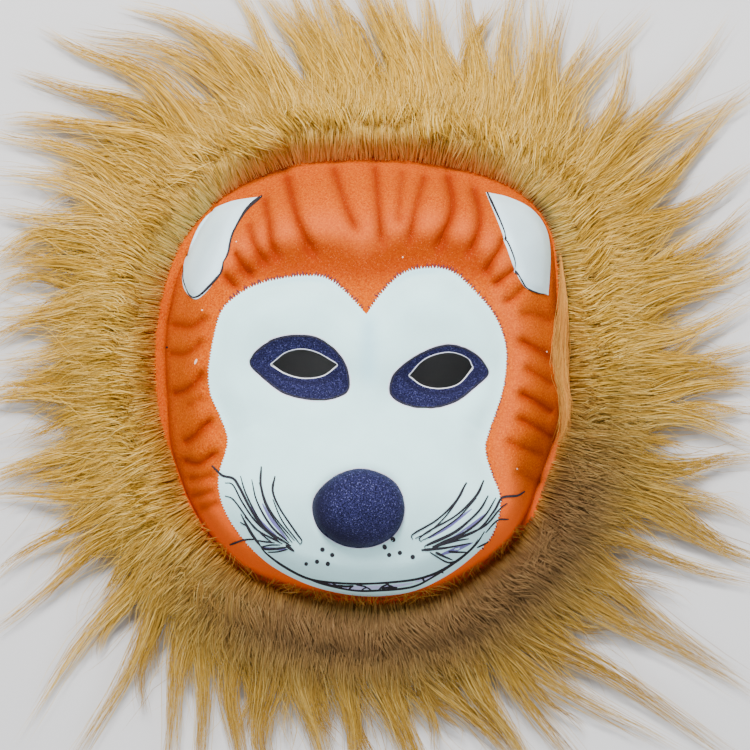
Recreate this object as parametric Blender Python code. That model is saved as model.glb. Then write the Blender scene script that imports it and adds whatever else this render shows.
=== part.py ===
"""A plush lion mask that lies face up: a moulded foam shell with a velour face, its white face
panel, eye patches, nose and ears, a mane of long fur round the rim, and a head elastic.

Metres, +Z up, +Y towards the forehead. Tables are in millimetres. The outlines are drawn as they
look from a point high over the mask, so a raised point lies a little nearer the middle.
"""
import math

import bmesh
import bpy
import numpy as np
from mathutils import Vector
from mathutils.geometry import delaunay_2d_cdt

MM = 0.001

# Where the outlines are seen from
SIGHT_X = 6.0
SIGHT_Y = 2.5
SIGHT_Z = 1500.0

# Brings the middle of the whole mask over the origin
SHIFT_Y = -2.3

# Walls and seams
GAP = 0.3
FOAM = 2.8
SKIN = 1.0
RIM_Z = 11.0
RIM_HIDDEN = 3.0
FLANGE = 4.0
FLANGE_CHIN = 1.5

# Main heights of the shell over its rim
EDGE_RISE = 34.0
CHIN_DROP = 8.0
PANEL_RISE = 4.0
PUFF_FOREHEAD = 7.0
PUFF_SIDE = 3.0
NOSE_RISE = 10.0
EAR_RISE = 1.4

# Width of the climb from the rim to the shell's full height, and what the cheeks and the forehead add
SHOULDER_CHIN = 15.0
SHOULDER_CHEEK = 12.0
SHOULDER_FOREHEAD = 14.0
CLIMB_POWER = 2.6

# Spacing of mesh points
RIM_STEP = 7.5
PANEL_STEP = 6.5
PATCH_STEP = 5.0
HOLE_STEP = 4.0
EAR_STEP = 7.0
FIELD_STEP = 7.6
FIELD_HALF = 110.0
CURVE_PIECES = 24
CLEAR_OF_LOOPS = 2.2
CREASE_CLEAR = 0.9

# Outlines: x_mm, y_mm. A third value of 1 marks a sharp corner
SHELL_OUTLINE = (
    (1.0, 104.0), (29.5, 102.5), (59.0, 96.0), (79.0, 84.5), (89.0, 70.0), (92.0, 52.5), (93.0, 31.0),
    (95.5, 2.0), (93.0, -26.5), (86.0, -48.0), (79.0, -65.5), (66.0, -80.5), (44.0, -95.5), (22.5, -103.0),
    (-3.0, -104.0), (-27.5, -100.5), (-52.0, -92.0), (-68.0, -79.0), (-81.0, -59.0), (-89.0, -38.0),
    (-95.5, -16.5), (-97.5, 2.5), (-97.0, 24.0), (-91.5, 50.0), (-83.0, 68.0), (-70.0, 83.0), (-54.0, 93.5),
    (-30.0, 102.0),
)
PANEL_OUTLINE = (
    (2.0, 31.0, 1), (10.0, 41.5), (19.5, 50.0), (31.0, 52.5), (41.5, 51.0), (51.0, 43.0), (61.5, 31.0),
    (67.0, 17.0), (67.0, 2.5), (64.5, -9.0), (60.0, -22.0), (57.5, -32.0), (60.0, -42.5), (64.5, -56.0),
    (61.0, -71.0), (53.0, -81.0), (40.0, -91.0), (24.0, -98.5), (5.0, -101.0), (-13.0, -99.0),
    (-30.0, -93.5), (-46.0, -84.0), (-59.0, -69.5), (-65.5, -57.0), (-67.0, -45.0), (-63.0, -29.0),
    (-66.0, -18.0), (-71.0, -6.0), (-71.5, 8.0), (-66.5, 31.0), (-58.0, 40.0), (-46.5, 45.5),
    (-30.5, 48.5), (-18.0, 48.0), (-9.0, 42.0),
)
PATCH_LEFT_OUTLINE = (
    (-53.0, 9.5), (-44.0, 18.5), (-32.5, 21.5), (-20.5, 20.0), (-10.5, 12.5), (-6.0, 3.5), (-7.0, -6.0),
    (-19.0, -10.0), (-36.0, -7.0), (-48.0, 2.0),
)
PATCH_RIGHT_OUTLINE = (
    (59.0, 4.5), (52.0, 13.5), (40.0, 17.0), (25.5, 12.0), (14.0, 2.5), (13.0, -7.0), (21.5, -12.5),
    (33.5, -13.5), (45.0, -10.0), (55.0, -1.5),
)
HOLE_LEFT_OUTLINE = (
    (-43.0, 8.0, 1), (-36.0, 13.8), (-28.5, 15.5), (-20.5, 13.6), (-11.0, 8.0, 1), (-18.0, 2.4),
    (-27.0, 1.0), (-36.0, 3.3),
)
HOLE_RIGHT_OUTLINE = (
    (21.5, 3.0, 1), (29.5, 11.0), (40.5, 14.0), (49.0, 11.5), (52.0, 6.5, 1), (45.5, -1.5),
    (36.5, -3.8), (28.0, -2.2),
)
EAR_LEFT_OUTLINE = (
    (-47.0, 86.0, 1), (-55.0, 79.5), (-60.0, 71.0), (-63.0, 61.0), (-67.5, 49.5), (-72.5, 42.0),
    (-78.0, 38.0), (-83.0, 42.5), (-84.0, 50.5), (-80.0, 66.0), (-73.0, 77.5), (-62.0, 83.5),
)
EAR_RIGHT_OUTLINE = (
    (58.0, 88.0, 1), (69.0, 85.5), (79.5, 80.0), (86.0, 71.0), (88.0, 59.0), (87.0, 40.0, 1),
    (77.0, 43.0), (71.0, 53.0), (65.0, 70.5),
)
NOSE_OUTLINE = (
    (20.0, -59.0), (15.0, -47.5), (1.0, -41.5), (-13.0, -45.0), (-23.0, -56.0), (-20.5, -69.0),
    (-9.0, -77.0), (5.0, -77.5), (16.0, -71.0),
)

# Raised and sunk forms: x_mm, y_mm, half_width, half_height, tilt_deg, rise, squareness
FACE_FORMS = (
    (0.0, -5.0, 70.0, 80.0, 0.0, 7.0, 1.0),
    (-37.0, 32.0, 24.0, 13.0, 8.0, 4.0, 1.0),
    (36.0, 34.0, 24.0, 13.0, -8.0, 4.0, 1.0),
    (-28.0, 3.0, 22.0, 12.0, -8.0, -8.0, 1.3),
    (36.0, -1.0, 22.0, 12.0, 12.0, -8.0, 1.3),
    (4.0, 8.0, 9.0, 26.0, 0.0, 3.0, 1.0),
    (-1.0, -58.0, 44.0, 33.0, 0.0, 14.0, 1.4),
    (-52.0, -18.0, 15.0, 14.0, 0.0, -2.0, 1.0),
    (50.0, -20.0, 15.0, 14.0, 0.0, -2.0, 1.0),
)
EAR_DIMPLES = (
    (-72.0, 62.0, 7.0, 10.0, 25.0, -1.2, 1.0),
    (74.0, 70.0, 6.0, 9.0, 0.0, -1.4, 1.0),
)

# Pleats of the orange field, anticlockwise from the right of the chin:
# rim_x, rim_y, inner_x, inner_y, bow, depth, half_width
PLEATS = (
    (83.0, -43.5, 72.4, -38.5, 0.5, 1.2, 2.4),
    (83.6, -35.4, 69.6, -28.7, 0.5, 1.5, 2.4),
    (84.6, -24.9, 72.0, -19.1, 0.8, 1.6, 2.3),
    (88.0, -18.0, 74.0, -7.1, 1.2, 2.0, 2.3),
    (88.0, 0.1, 75.5, 5.4, 0.8, 1.5, 2.3),
    (88.5, 10.5, 73.0, 19.7, 1.0, 2.0, 2.3),
    (87.0, 27.5, 73.0, 32.0, -0.8, 1.5, 2.2),
    (76.0, 41.0, 63.9, 35.7, -1.0, 1.6, 2.0),
    (69.0, 51.0, 57.6, 44.5, -1.0, 1.7, 2.0),
    (64.0, 65.0, 54.0, 49.6, -0.8, 1.6, 1.9),
    (53.8, 89.0, 43.0, 53.3, -3.2, 2.2, 1.9),
    (42.5, 94.0, 33.0, 57.5, -2.5, 2.2, 1.9),
    (29.3, 98.0, 21.1, 60.0, -1.2, 1.7, 1.8),
    (19.0, 100.0, 16.0, 64.0, -0.4, 1.2, 1.7),
    (6.6, 100.5, 9.4, 58.0, -0.3, 1.8, 1.8),
    (-11.0, 98.5, 2.5, 66.0, 2.2, 1.8, 1.9),
    (-24.0, 97.0, -12.0, 62.0, 1.8, 0.7, 2.2),
    (-34.2, 95.0, -19.8, 53.5, 2.4, 2.0, 1.9),
    (-43.5, 88.0, -30.0, 50.5, 2.2, 1.7, 1.9),
    (-51.5, 75.0, -40.5, 51.0, 1.4, 1.5, 1.9),
    (-59.0, 62.0, -50.5, 48.5, 0.8, 1.6, 1.9),
    (-67.5, 46.0, -58.5, 43.0, 0.5, 1.3, 2.0),
    (-86.5, 24.4, -74.0, 32.5, -0.8, 1.5, 2.2),
    (-89.0, 12.0, -75.0, 21.6, -1.4, 2.0, 2.2),
    (-88.5, -6.6, -74.5, 4.5, -1.4, 2.0, 2.2),
    (-88.5, -15.5, -74.5, -8.5, -0.8, 1.5, 2.2),
    (-83.5, -33.5, -69.0, -17.5, -1.0, 2.0, 2.3),
    (-82.5, -41.0, -68.5, -33.5, -1.0, 1.7, 2.1),
    (-80.0, -49.5, -69.0, -49.8, -0.4, 1.5, 1.9),
    (-77.0, -58.5, -67.0, -57.2, -0.4, 1.3, 1.8),
    (-71.5, -67.5, -64.5, -66.5, 0.0, 0.9, 1.8),
)
PLEAT_STATIONS = 6
CREST_STATIONS = 5
MOST_PLEAT_SPACING = 18.0

# Section of the mane's ring: mm outside the visible rim, mm over the table
MANE_SECTION = (
    (-4.0, 0.0), (-4.0, 7.9), (4.0, 7.9), (4.0, 11.8), (1.0, 12.2), (0.6, 17.0), (4.0, 25.0),
    (12.0, 30.5), (21.5, 27.0), (28.5, 18.5), (31.5, 9.0), (31.5, 0.0),
)
UPPER_TIER = 9
LOWER_TIER = 10
MANE_SEGMENTS = 52
ROLL_TOP = 20.0
LOCK_STEPS = (0.30, 0.58, 0.82, 1.0)
LOCK_TIP_WIDTH = 0.16
LOCK_TAPER = 1.9
UPPER_LOCK = {"length": 50.0, "drop_top": 9.5, "drop_bottom": 1.0, "phase": 0.9}
LOWER_LOCK = {"length": 58.0, "drop_top": 4.5, "drop_bottom": -1.4, "phase": 0.0}
# Sway of the locks along the ring: waves round the ring, angle in degrees, phase
LOCK_SWAY = ((3, 9.0, 0.4), (7, 6.0, 2.1), (13, 4.0, 5.0))
# Change of their length: waves round the ring, share of the length, phase
LOCK_REACH = ((5, 0.06, 1.0), (11, 0.07, 3.3), (17, 0.05, 0.2))
ROLL_WAVES = ((19, 0.9, 0.5), (26, 0.7, 2.6))

# Head elastic: a flat band on edge that lies slack round the chin side of the hollow
ELASTIC_WIDTH = 8.0
ELASTIC_THICK = 1.0
ELASTIC_START = 172.0
ELASTIC_END = 368.0
ELASTIC_STATIONS = 37
ELASTIC_INSET_ENDS = 11.0
ELASTIC_INSET_MIDDLE = 17.0
ELASTIC_ANCHOR_SHARE = 0.12
ELASTIC_SEAT = 0.96
ELASTIC_LIFT = 14.0


def smooth_loop(rows, step):
    """Points about step apart on a closed curve through the rows, with its marked corners kept."""
    knots = np.array([row[:2] for row in rows], float)
    corners = [i for i, row in enumerate(rows) if len(row) > 2 and row[2]]
    count = len(knots)
    points = []
    for i in range(count):
        start, end = knots[i], knots[(i + 1) % count]
        before, after = knots[i - 1], knots[(i + 2) % count]
        leave = end - start if i in corners else (end - before) / 2
        arrive = end - start if (i + 1) % count in corners else (after - start) / 2
        length = np.linalg.norm(end - start)
        fit_leave = leave * min(1.0, length / max(np.linalg.norm(leave), 1e-6))
        fit_arrive = arrive * min(1.0, length / max(np.linalg.norm(arrive), 1e-6))
        for k in range(CURVE_PIECES):
            t = k / CURVE_PIECES
            a = 2 * t**3 - 3 * t**2 + 1
            b = t**3 - 2 * t**2 + t
            c = -2 * t**3 + 3 * t**2
            d = t**3 - t**2
            points.append(a * start + b * fit_leave + c * end + d * fit_arrive)
    fine = np.array(points)
    cuts = [i * CURVE_PIECES for i in corners] or [0]
    result = []
    for i, cut in enumerate(cuts):
        stop = cuts[(i + 1) % len(cuts)]
        run = np.vstack([fine[cut:], fine[:stop + 1]]) if stop <= cut else fine[cut:stop + 1]
        along = np.concatenate([[0], np.cumsum(np.linalg.norm(np.diff(run, axis=0), axis=1))])
        pieces = max(2, round(along[-1] / step))
        places = np.linspace(0, along[-1], pieces + 1)[:-1]
        result.append(np.column_stack([np.interp(places, along, run[:, k]) for k in (0, 1)]))
    return np.vstack(result)


def distance_to_line(points, line, closed=True):
    """Distance of each point from a line of points, and where along it the nearest place is, 0 to 1."""
    ends = np.roll(line, -1, axis=0) if closed else line[1:]
    starts = line if closed else line[:-1]
    best = np.full(len(points), np.inf)
    place = np.zeros(len(points))
    for i, (start, end) in enumerate(zip(starts, ends)):
        way = end - start
        t = np.clip((points - start) @ way / max(way @ way, 1e-12), 0, 1)
        gap = np.hypot(*(points - start - t[:, None] * way).T)
        nearer = gap < best
        best = np.where(nearer, gap, best)
        place = np.where(nearer, (i + t) / len(starts), place)
    return best, place


def inside(points, loop):
    """True for each point within a closed loop."""
    result = np.zeros(len(points), bool)
    x, y = points[:, 0], points[:, 1]
    for start, end in zip(loop, np.roll(loop, -1, axis=0)):
        if start[1] == end[1]:
            continue
        crosses = (y < start[1]) != (y < end[1])
        reach = start[0] + (y - start[1]) * (end[0] - start[0]) / (end[1] - start[1])
        result ^= crosses & (x < reach)
    return result


def depth_inside(points, loop):
    """Distance from the loop, positive inside it."""
    gap, _ = distance_to_line(points, loop)
    return np.where(inside(points, loop), gap, -gap)


def smooth_step(t):
    t = np.clip(t, 0, 1)
    return t * t * (3 - 2 * t)


def sum_of_forms(points, forms):
    """Height of rounded forms, each an ellipse that fades out from its middle."""
    total = np.zeros(len(points))
    for x, y, half_width, half_height, tilt, rise, squareness in forms:
        turn = math.radians(tilt)
        dx, dy = points[:, 0] - x, points[:, 1] - y
        along = (dx * math.cos(turn) + dy * math.sin(turn)) / half_width
        across = (dy * math.cos(turn) - dx * math.sin(turn)) / half_height
        total += rise * np.exp(-((along**2 + across**2) ** squareness))
    return total


def pleat_line(row, stations):
    """Points from the rim end of a pleat to its inner end, bowed to one side."""
    start, end = np.array(row[0:2]), np.array(row[2:4])
    side = np.array([-(end - start)[1], (end - start)[0]]) / np.linalg.norm(end - start)
    t = np.linspace(0, 1, stations)
    return start + t[:, None] * (end - start) + (4 * t * (1 - t) * row[4])[:, None] * side


def pleat_height(points):
    """Depth of the pleats, below zero in each groove."""
    total = np.zeros(len(points))
    for row in PLEATS:
        line = pleat_line(row, 9)
        reach = 3.2 * row[6]
        low, high = line.min(axis=0) - reach, line.max(axis=0) + reach
        near = np.all((points > low) & (points < high), axis=1)
        gap, place = distance_to_line(points[near], line, closed=False)
        fade = smooth_step(place / 0.25) * smooth_step((1 - place) / 0.22)
        total[near] -= row[5] * fade * np.exp(-((gap / row[6]) ** 2))
    return total


LOOPS = {
    "shell": smooth_loop(SHELL_OUTLINE, 2.0),
    "panel": smooth_loop(PANEL_OUTLINE, 2.0),
    "patch_left": smooth_loop(PATCH_LEFT_OUTLINE, 1.5),
    "patch_right": smooth_loop(PATCH_RIGHT_OUTLINE, 1.5),
    "ear_left": smooth_loop(EAR_LEFT_OUTLINE, 1.5),
    "ear_right": smooth_loop(EAR_RIGHT_OUTLINE, 1.5),
    "nose": smooth_loop(NOSE_OUTLINE, 1.5),
}


def flange_width(y):
    """The flat flange is narrower under the chin."""
    return FLANGE + (FLANGE_CHIN - FLANGE) * smooth_step((-60 - y) / 30)


def face_height(points, pleats=1.0):
    """Height of the shell's outer face over the table at each drawn point."""
    y = points[:, 1]
    in_rim = depth_inside(points, LOOPS["shell"]) - flange_width(y)
    in_panel = depth_inside(points, LOOPS["panel"])
    low_end = smooth_step((-50 - y) / 45)
    shoulder = SHOULDER_CHIN + SHOULDER_CHEEK / (1 + np.exp(-(y + 48) / 9))
    shoulder += SHOULDER_FOREHEAD / (1 + np.exp(-(y - 50) / 12))
    climb = np.clip(in_rim / shoulder, 0, 1)
    rise = EDGE_RISE - CHIN_DROP * low_end
    height = RIM_Z + rise * (1 - (1 - climb) ** CLIMB_POWER)
    band = np.clip(in_rim, 0, None)
    across = band / (band + np.clip(-in_panel, 0, None) + 1e-6)
    forehead = smooth_step((y - 25) / 45)
    puff = PUFF_SIDE * (1 - low_end) + (PUFF_FOREHEAD - PUFF_SIDE) * forehead
    height += puff * np.sin(math.pi * np.clip(across, 0, 1) ** 1.1) ** 2
    height += PANEL_RISE * smooth_step(in_panel / 14)
    on_face = smooth_step(in_rim / 18)
    height += on_face * sum_of_forms(points, FACE_FORMS)
    for name in ("patch_left", "patch_right"):
        height -= 1.0 * smooth_step(depth_inside(points, LOOPS[name]) / 3)
    in_nose = depth_inside(points, LOOPS["nose"])
    bulge = np.clip((in_nose - 1.5) / 16, 0, 1)
    height += NOSE_RISE * np.sqrt(1 - (1 - bulge) ** 2)
    height -= 1.2 * np.exp(-(((in_nose - 0.5) / 1.8) ** 2))
    in_ears = np.maximum(depth_inside(points, LOOPS["ear_left"]), depth_inside(points, LOOPS["ear_right"]))
    on_ears = smooth_step(in_ears / 4)
    height += on_ears * (EAR_RISE + sum_of_forms(points, EAR_DIMPLES))
    return height + pleats * pleat_height(points) * smooth_step(-in_panel / 3) * (1 - on_ears)


def place(points, heights):
    """True places of drawn points at their heights, all in millimetres."""
    share = 1 - heights / SIGHT_Z
    x = SIGHT_X + (points[:, 0] - SIGHT_X) * share
    y = SIGHT_Y + (points[:, 1] - SIGHT_Y) * share
    return np.column_stack([x, y, heights])


def face_and_normals(points, pleats=1.0):
    """Places on the shell's outer face, and the outward directions there."""
    step = 0.4
    spots = place(points, face_height(points, pleats))
    right = points + (step, 0)
    up = points + (0, step)
    along = place(right, face_height(right, pleats)) - spots
    across = place(up, face_height(up, pleats)) - spots
    normals = np.cross(along, across)
    return spots, normals / np.linalg.norm(normals, axis=1)[:, None]


def new_object(name, verts_mm, faces, material):
    """An object from points in millimetres, shaded smooth except at sharp edges."""
    mesh = bpy.data.meshes.new(name)
    spots = [(Vector(v) + Vector((0, SHIFT_Y, 0))) * MM for v in verts_mm]
    mesh.from_pydata(spots, [], [list(map(int, face)) for face in faces])
    mesh.materials.append(material)
    mesh.shade_smooth()
    mesh.set_sharp_from_angle(angle=math.radians(50))
    obj = bpy.data.objects.new(name, mesh)
    bpy.context.collection.objects.link(obj)
    return obj


def make_material(name, colour, roughness):
    material = bpy.data.materials.new(name)
    material.use_nodes = True
    shader = material.node_tree.nodes["Principled BSDF"]
    shader.inputs["Base Color"].default_value = (*colour, 1)
    shader.inputs["Roughness"].default_value = roughness
    shader.inputs["Metallic"].default_value = 0.0
    return material


def outset(loop, distance):
    """The loop moved outwards, which runs clockwise or anticlockwise."""
    ahead = np.roll(loop, -1, axis=0) - np.roll(loop, 1, axis=0)
    ahead /= np.linalg.norm(ahead, axis=1)[:, None]
    x, y = loop.T
    turning = np.sum(x * np.roll(y, -1) - np.roll(x, -1) * y)
    side = np.column_stack([ahead[:, 1], -ahead[:, 0]]) * math.copysign(1, turning)
    return loop + side * distance


def field_points(fixed):
    """Points of a staggered grid over the face, clear of the fixed points."""
    rows = []
    height = FIELD_STEP * math.sqrt(3) / 2
    for j in range(int(2 * FIELD_HALF / height)):
        shift = FIELD_STEP / 2 if j % 2 else 0.0
        for i in range(int(2 * FIELD_HALF / FIELD_STEP)):
            rows.append((-FIELD_HALF + i * FIELD_STEP + shift, -FIELD_HALF + j * height))
    grid = np.array(rows)
    gap = np.min(np.linalg.norm(grid[:, None] - fixed[None], axis=2), axis=1)
    return grid[gap > FIELD_STEP * 0.62]


def pleat_points():
    """Points along each pleat and along the crests between neighbours."""
    rows = [pleat_line(row, PLEAT_STATIONS) for row in PLEATS]
    for row, following in zip(PLEATS, PLEATS[1:]):
        first, second = pleat_line(row, CREST_STATIONS), pleat_line(following, CREST_STATIONS)
        if np.linalg.norm(first[0] - second[0]) < MOST_PLEAT_SPACING:
            rows.append((first + second) / 2)
    return np.vstack(rows)


def face_triangles():
    """One set of points and triangles for the shell and all that lies on it, with the loops kept."""
    loops = [
        outset(smooth_loop(SHELL_OUTLINE, RIM_STEP), RIM_HIDDEN),
        smooth_loop(PANEL_OUTLINE, PANEL_STEP),
        smooth_loop(PATCH_LEFT_OUTLINE, PATCH_STEP),
        smooth_loop(PATCH_RIGHT_OUTLINE, PATCH_STEP),
        smooth_loop(HOLE_LEFT_OUTLINE, HOLE_STEP),
        smooth_loop(HOLE_RIGHT_OUTLINE, HOLE_STEP),
        smooth_loop(EAR_LEFT_OUTLINE, EAR_STEP),
        smooth_loop(EAR_RIGHT_OUTLINE, EAR_STEP),
        smooth_loop(NOSE_OUTLINE, PATCH_STEP),
    ]
    points = np.vstack(loops)
    edges = []
    start = 0
    for loop in loops:
        count = len(loop)
        edges += [(start + i, start + (i + 1) % count) for i in range(count)]
        start += count
    rim = smooth_loop(SHELL_OUTLINE, RIM_STEP)
    crease = outset(rim, -flange_width(rim[:, 1])[:, None])
    kept = np.ones(len(crease), bool)
    for loop in loops[1:]:
        kept &= distance_to_line(crease, loop)[0] > CREASE_CLEAR
    numbers = start + np.cumsum(kept) - 1
    count = len(crease)
    edges += [(numbers[i], numbers[(i + 1) % count]) for i in range(count) if kept[i] and kept[(i + 1) % count]]
    points = np.vstack([points, crease[kept]])
    loose = pleat_points()
    loose = np.vstack([loose, field_points(np.vstack([points, loose]))])
    keep = inside(loose, crease)
    for loop in [*loops, crease]:
        keep &= distance_to_line(loose, loop)[0] > CLEAR_OF_LOOPS
    points = np.vstack([points, loose[keep]])
    result = delaunay_2d_cdt([Vector(p) for p in points], edges, [], 0, 1e-6)
    return np.array([tuple(v) for v in result[0]]), np.array(result[2])


def region(points, triangles, within, without=()):
    """The triangles whose middles lie in one loop and outside others."""
    middles = points[triangles].mean(axis=1)
    keep = inside(middles, within)
    for loop in without:
        keep &= ~inside(middles, loop)
    return triangles[keep]


def solid_between(lower, upper, triangles):
    """Points and faces of the closed wall between two layers with the same triangles."""
    used = np.unique(triangles)
    renumber = np.full(len(lower), -1)
    renumber[used] = np.arange(len(used))
    local = renumber[triangles]
    verts = np.vstack([upper[used], lower[used]])
    a, b, c = upper[triangles].transpose(1, 0, 2)
    turned = np.cross(b - a, c - a)[:, 2] < 0
    local[turned] = local[turned][:, ::-1]
    half = len(used)
    sides = {}
    for face in local:
        for i in range(3):
            sides[(face[i], face[(i + 1) % 3])] = True
    walls = [(b, a, a + half, b + half) for a, b in sides if (b, a) not in sides]
    faces = [tuple(face) for face in local] + [tuple(face[::-1] + half) for face in local] + walls
    return verts, faces


def make_face(materials):
    """The shell and the pieces that lie on it."""
    points, triangles = face_triangles()
    outer, normals = face_and_normals(points)
    inner_form, inner_normals = face_and_normals(points, pleats=0.5)
    inner = inner_form - inner_normals * FOAM
    rim = outset(smooth_loop(SHELL_OUTLINE, RIM_STEP), RIM_HIDDEN)
    holes = [smooth_loop(HOLE_LEFT_OUTLINE, HOLE_STEP), smooth_loop(HOLE_RIGHT_OUTLINE, HOLE_STEP)]
    new_object("shell", *solid_between(inner, outer, region(points, triangles, rim, holes)), materials["shell"])
    first = outer + normals * GAP
    first_top = first + normals * SKIN
    second = first_top + normals * GAP
    second_top = second + normals * SKIN
    pieces = (
        ("face_panel", smooth_loop(PANEL_OUTLINE, PANEL_STEP), holes, first, first_top),
        ("eye_patch_left", smooth_loop(PATCH_LEFT_OUTLINE, PATCH_STEP), holes, second, second_top),
        ("eye_patch_right", smooth_loop(PATCH_RIGHT_OUTLINE, PATCH_STEP), holes, second, second_top),
        ("nose_cap", smooth_loop(NOSE_OUTLINE, PATCH_STEP), (), second, second_top),
        ("ear_left", smooth_loop(EAR_LEFT_OUTLINE, EAR_STEP), (), first, first_top),
        ("ear_right", smooth_loop(EAR_RIGHT_OUTLINE, EAR_STEP), (), first, first_top),
    )
    for name, loop, cut, lower, upper in pieces:
        new_object(name, *solid_between(lower, upper, region(points, triangles, loop, cut)), materials[name])


def waves(angle, rows):
    return sum(size * math.sin(count * angle + phase) for count, size, phase in rows)


def extend_lock(mesh, face, outward, angle, lock):
    """Draws one lock out of a face of the ring, in narrowing steps that curve and sink."""
    moved = bmesh.ops.extrude_discrete_faces(mesh, faces=[face])["faces"][0]
    start = [v.co.copy() for v in moved.verts]
    middle = sum(start, Vector()) / len(start)
    sway = math.radians(waves(angle + lock["phase"], LOCK_SWAY))
    length = lock["length"] * (1 + waves(angle + lock["phase"], LOCK_REACH))
    side = Vector((-outward.y, outward.x, 0))
    top = max(p.z for p in start)
    for number, step in enumerate(LOCK_STEPS):
        if number:
            moved = bmesh.ops.extrude_discrete_faces(mesh, faces=[moved])["faces"][0]
        width = 1 - (1 - LOCK_TIP_WIDTH) * step**LOCK_TAPER
        bend = length * step * step * math.sin(sway)
        for vert, origin in zip(moved.verts, start):
            across = (origin - middle).dot(side) * width
            flat = Vector((middle.x, middle.y, 0)) + side * (across + bend) + outward * length * step
            is_top = origin.z > top - 1
            drop = lock["drop_top"] if is_top else lock["drop_bottom"]
            vert.co = Vector((flat.x, flat.y, origin.z - drop * step))


def make_mane(material):
    """The fur strip: a thick roll round the rim, with two tiers of locks drawn out of its outer side."""
    base = smooth_loop(SHELL_OUTLINE, 1.0)
    along = np.linspace(0, len(base), MANE_SEGMENTS, endpoint=False).astype(int)
    mesh = bmesh.new()
    rings = []
    outwards = []
    for index in along:
        ahead = base[(index + 3) % len(base)] - base[index - 3]
        outward = np.array([-ahead[1], ahead[0]]) / np.linalg.norm(ahead)
        angle = math.atan2(base[index][1], base[index][0])
        swell = waves(angle, ROLL_WAVES)
        section = []
        for offset, height in MANE_SECTION:
            rise = swell if height > ROLL_TOP else 0.0
            spot = base[index] + outward * (offset + rise / 2)
            section.append(mesh.verts.new(place(spot[None], np.array([height + rise]))[0]))
        rings.append(section)
        outwards.append((Vector((outward[0], outward[1], 0)), angle))
    tiers = []
    for i, ring in enumerate(rings):
        following = rings[(i + 1) % len(rings)]
        for k in range(len(ring)):
            after = (k + 1) % len(ring)
            face = mesh.faces.new((ring[k], following[k], following[after], ring[after]))
            if k in (UPPER_TIER, LOWER_TIER):
                next_way = outwards[(i + 1) % len(rings)]
                way = (outwards[i][0] + next_way[0]).normalized()
                tiers.append((face, way, outwards[i][1], UPPER_LOCK if k == UPPER_TIER else LOWER_LOCK))
    for face, way, angle, lock in tiers:
        extend_lock(mesh, face, way, angle, lock)
    bmesh.ops.recalc_face_normals(mesh, faces=mesh.faces)
    bmesh.ops.triangulate(mesh, faces=mesh.faces)
    verts = [tuple(v.co) for v in mesh.verts]
    faces = [[v.index for v in f.verts] for f in mesh.faces]
    mesh.free()
    new_object("mane", verts, faces, material)


def make_elastic(material):
    """The flat head elastic: its ends lie against the shell's side walls, the rest slack on its edge."""
    base = smooth_loop(SHELL_OUTLINE, 1.0)
    angles = np.degrees(np.arctan2(base[:, 1], base[:, 0])) % 360
    order = np.argsort(angles)
    rings = []
    for number in range(ELASTIC_STATIONS):
        t = number / (ELASTIC_STATIONS - 1)
        angle = ELASTIC_START + (ELASTIC_END - ELASTIC_START) * t
        rim = np.array([np.interp(angle % 360, angles[order], base[order, k], period=360) for k in (0, 1)])
        inward = -rim / np.linalg.norm(rim)
        slack = smooth_step(min(t, 1 - t) / 0.4)
        free = smooth_step(min(t, 1 - t) / ELASTIC_ANCHOR_SHARE)
        inset = ELASTIC_INSET_ENDS + (ELASTIC_INSET_MIDDLE - ELASTIC_INSET_ENDS) * slack
        spot = (rim + inward * inset)[None]
        form, normal = face_and_normals(spot, pleats=0.5)
        wall = (form - normal * (FOAM + ELASTIC_SEAT + ELASTIC_THICK / 2))[0]
        thin_wall = -normal[0]
        thin_free = np.array([inward[0], inward[1], 0.0])
        thin = thin_wall + (thin_free - thin_wall) * free
        thin /= np.linalg.norm(thin)
        level = ELASTIC_WIDTH / 2 + GAP + ELASTIC_LIFT * (1 - slack)
        rest = np.array([*place(spot, np.array([level]))[0][:2], level])
        centre = wall + (rest - wall) * free
        ahead = np.array([-inward[1], inward[0], 0.0])
        wide = np.cross(thin, ahead)
        wide /= np.linalg.norm(wide)
        rings.append([
            centre + wide * w * ELASTIC_WIDTH / 2 + thin * s * ELASTIC_THICK / 2
            for w, s in ((-1, -1), (1, -1), (1, 1), (-1, 1))
        ])
    verts = [tuple(p) for ring in rings for p in ring]
    faces = []
    for i in range(len(rings) - 1):
        for k in range(4):
            a, b = i * 4 + k, i * 4 + (k + 1) % 4
            faces.append((a, b, b + 4, a + 4))
    last = len(verts) - 4
    faces += [(3, 2, 1, 0), (last, last + 1, last + 2, last + 3)]
    obj = new_object("head_elastic", verts, faces, material)
    mesh = bmesh.new()
    mesh.from_mesh(obj.data)
    bmesh.ops.recalc_face_normals(mesh, faces=mesh.faces)
    mesh.to_mesh(obj.data)
    mesh.free()


def clear_scene():
    for obj in list(bpy.data.objects):
        bpy.data.objects.remove(obj, do_unlink=True)


def main():
    clear_scene()
    materials = {
        "shell": make_material("orange velour", (0.85, 0.13, 0.01), 0.85),
        "face_panel": make_material("white velour", (0.80, 0.86, 0.84), 0.80),
        "eye_patch_left": make_material("dark blue flock left", (0.02, 0.02, 0.09), 0.75),
        "eye_patch_right": make_material("dark blue flock right", (0.02, 0.02, 0.09), 0.75),
        "nose_cap": make_material("dark blue flock nose", (0.02, 0.02, 0.10), 0.70),
        "ear_left": make_material("white velour left ear", (0.78, 0.84, 0.84), 0.80),
        "ear_right": make_material("white velour right ear", (0.78, 0.84, 0.84), 0.80),
        "mane": make_material("golden fur", (0.50, 0.30, 0.09), 0.90),
        "head_elastic": make_material("woven elastic", (0.75, 0.75, 0.73), 0.70),
    }
    make_face(materials)
    make_mane(materials["mane"])
    make_elastic(materials["head_elastic"])


main()
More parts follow.
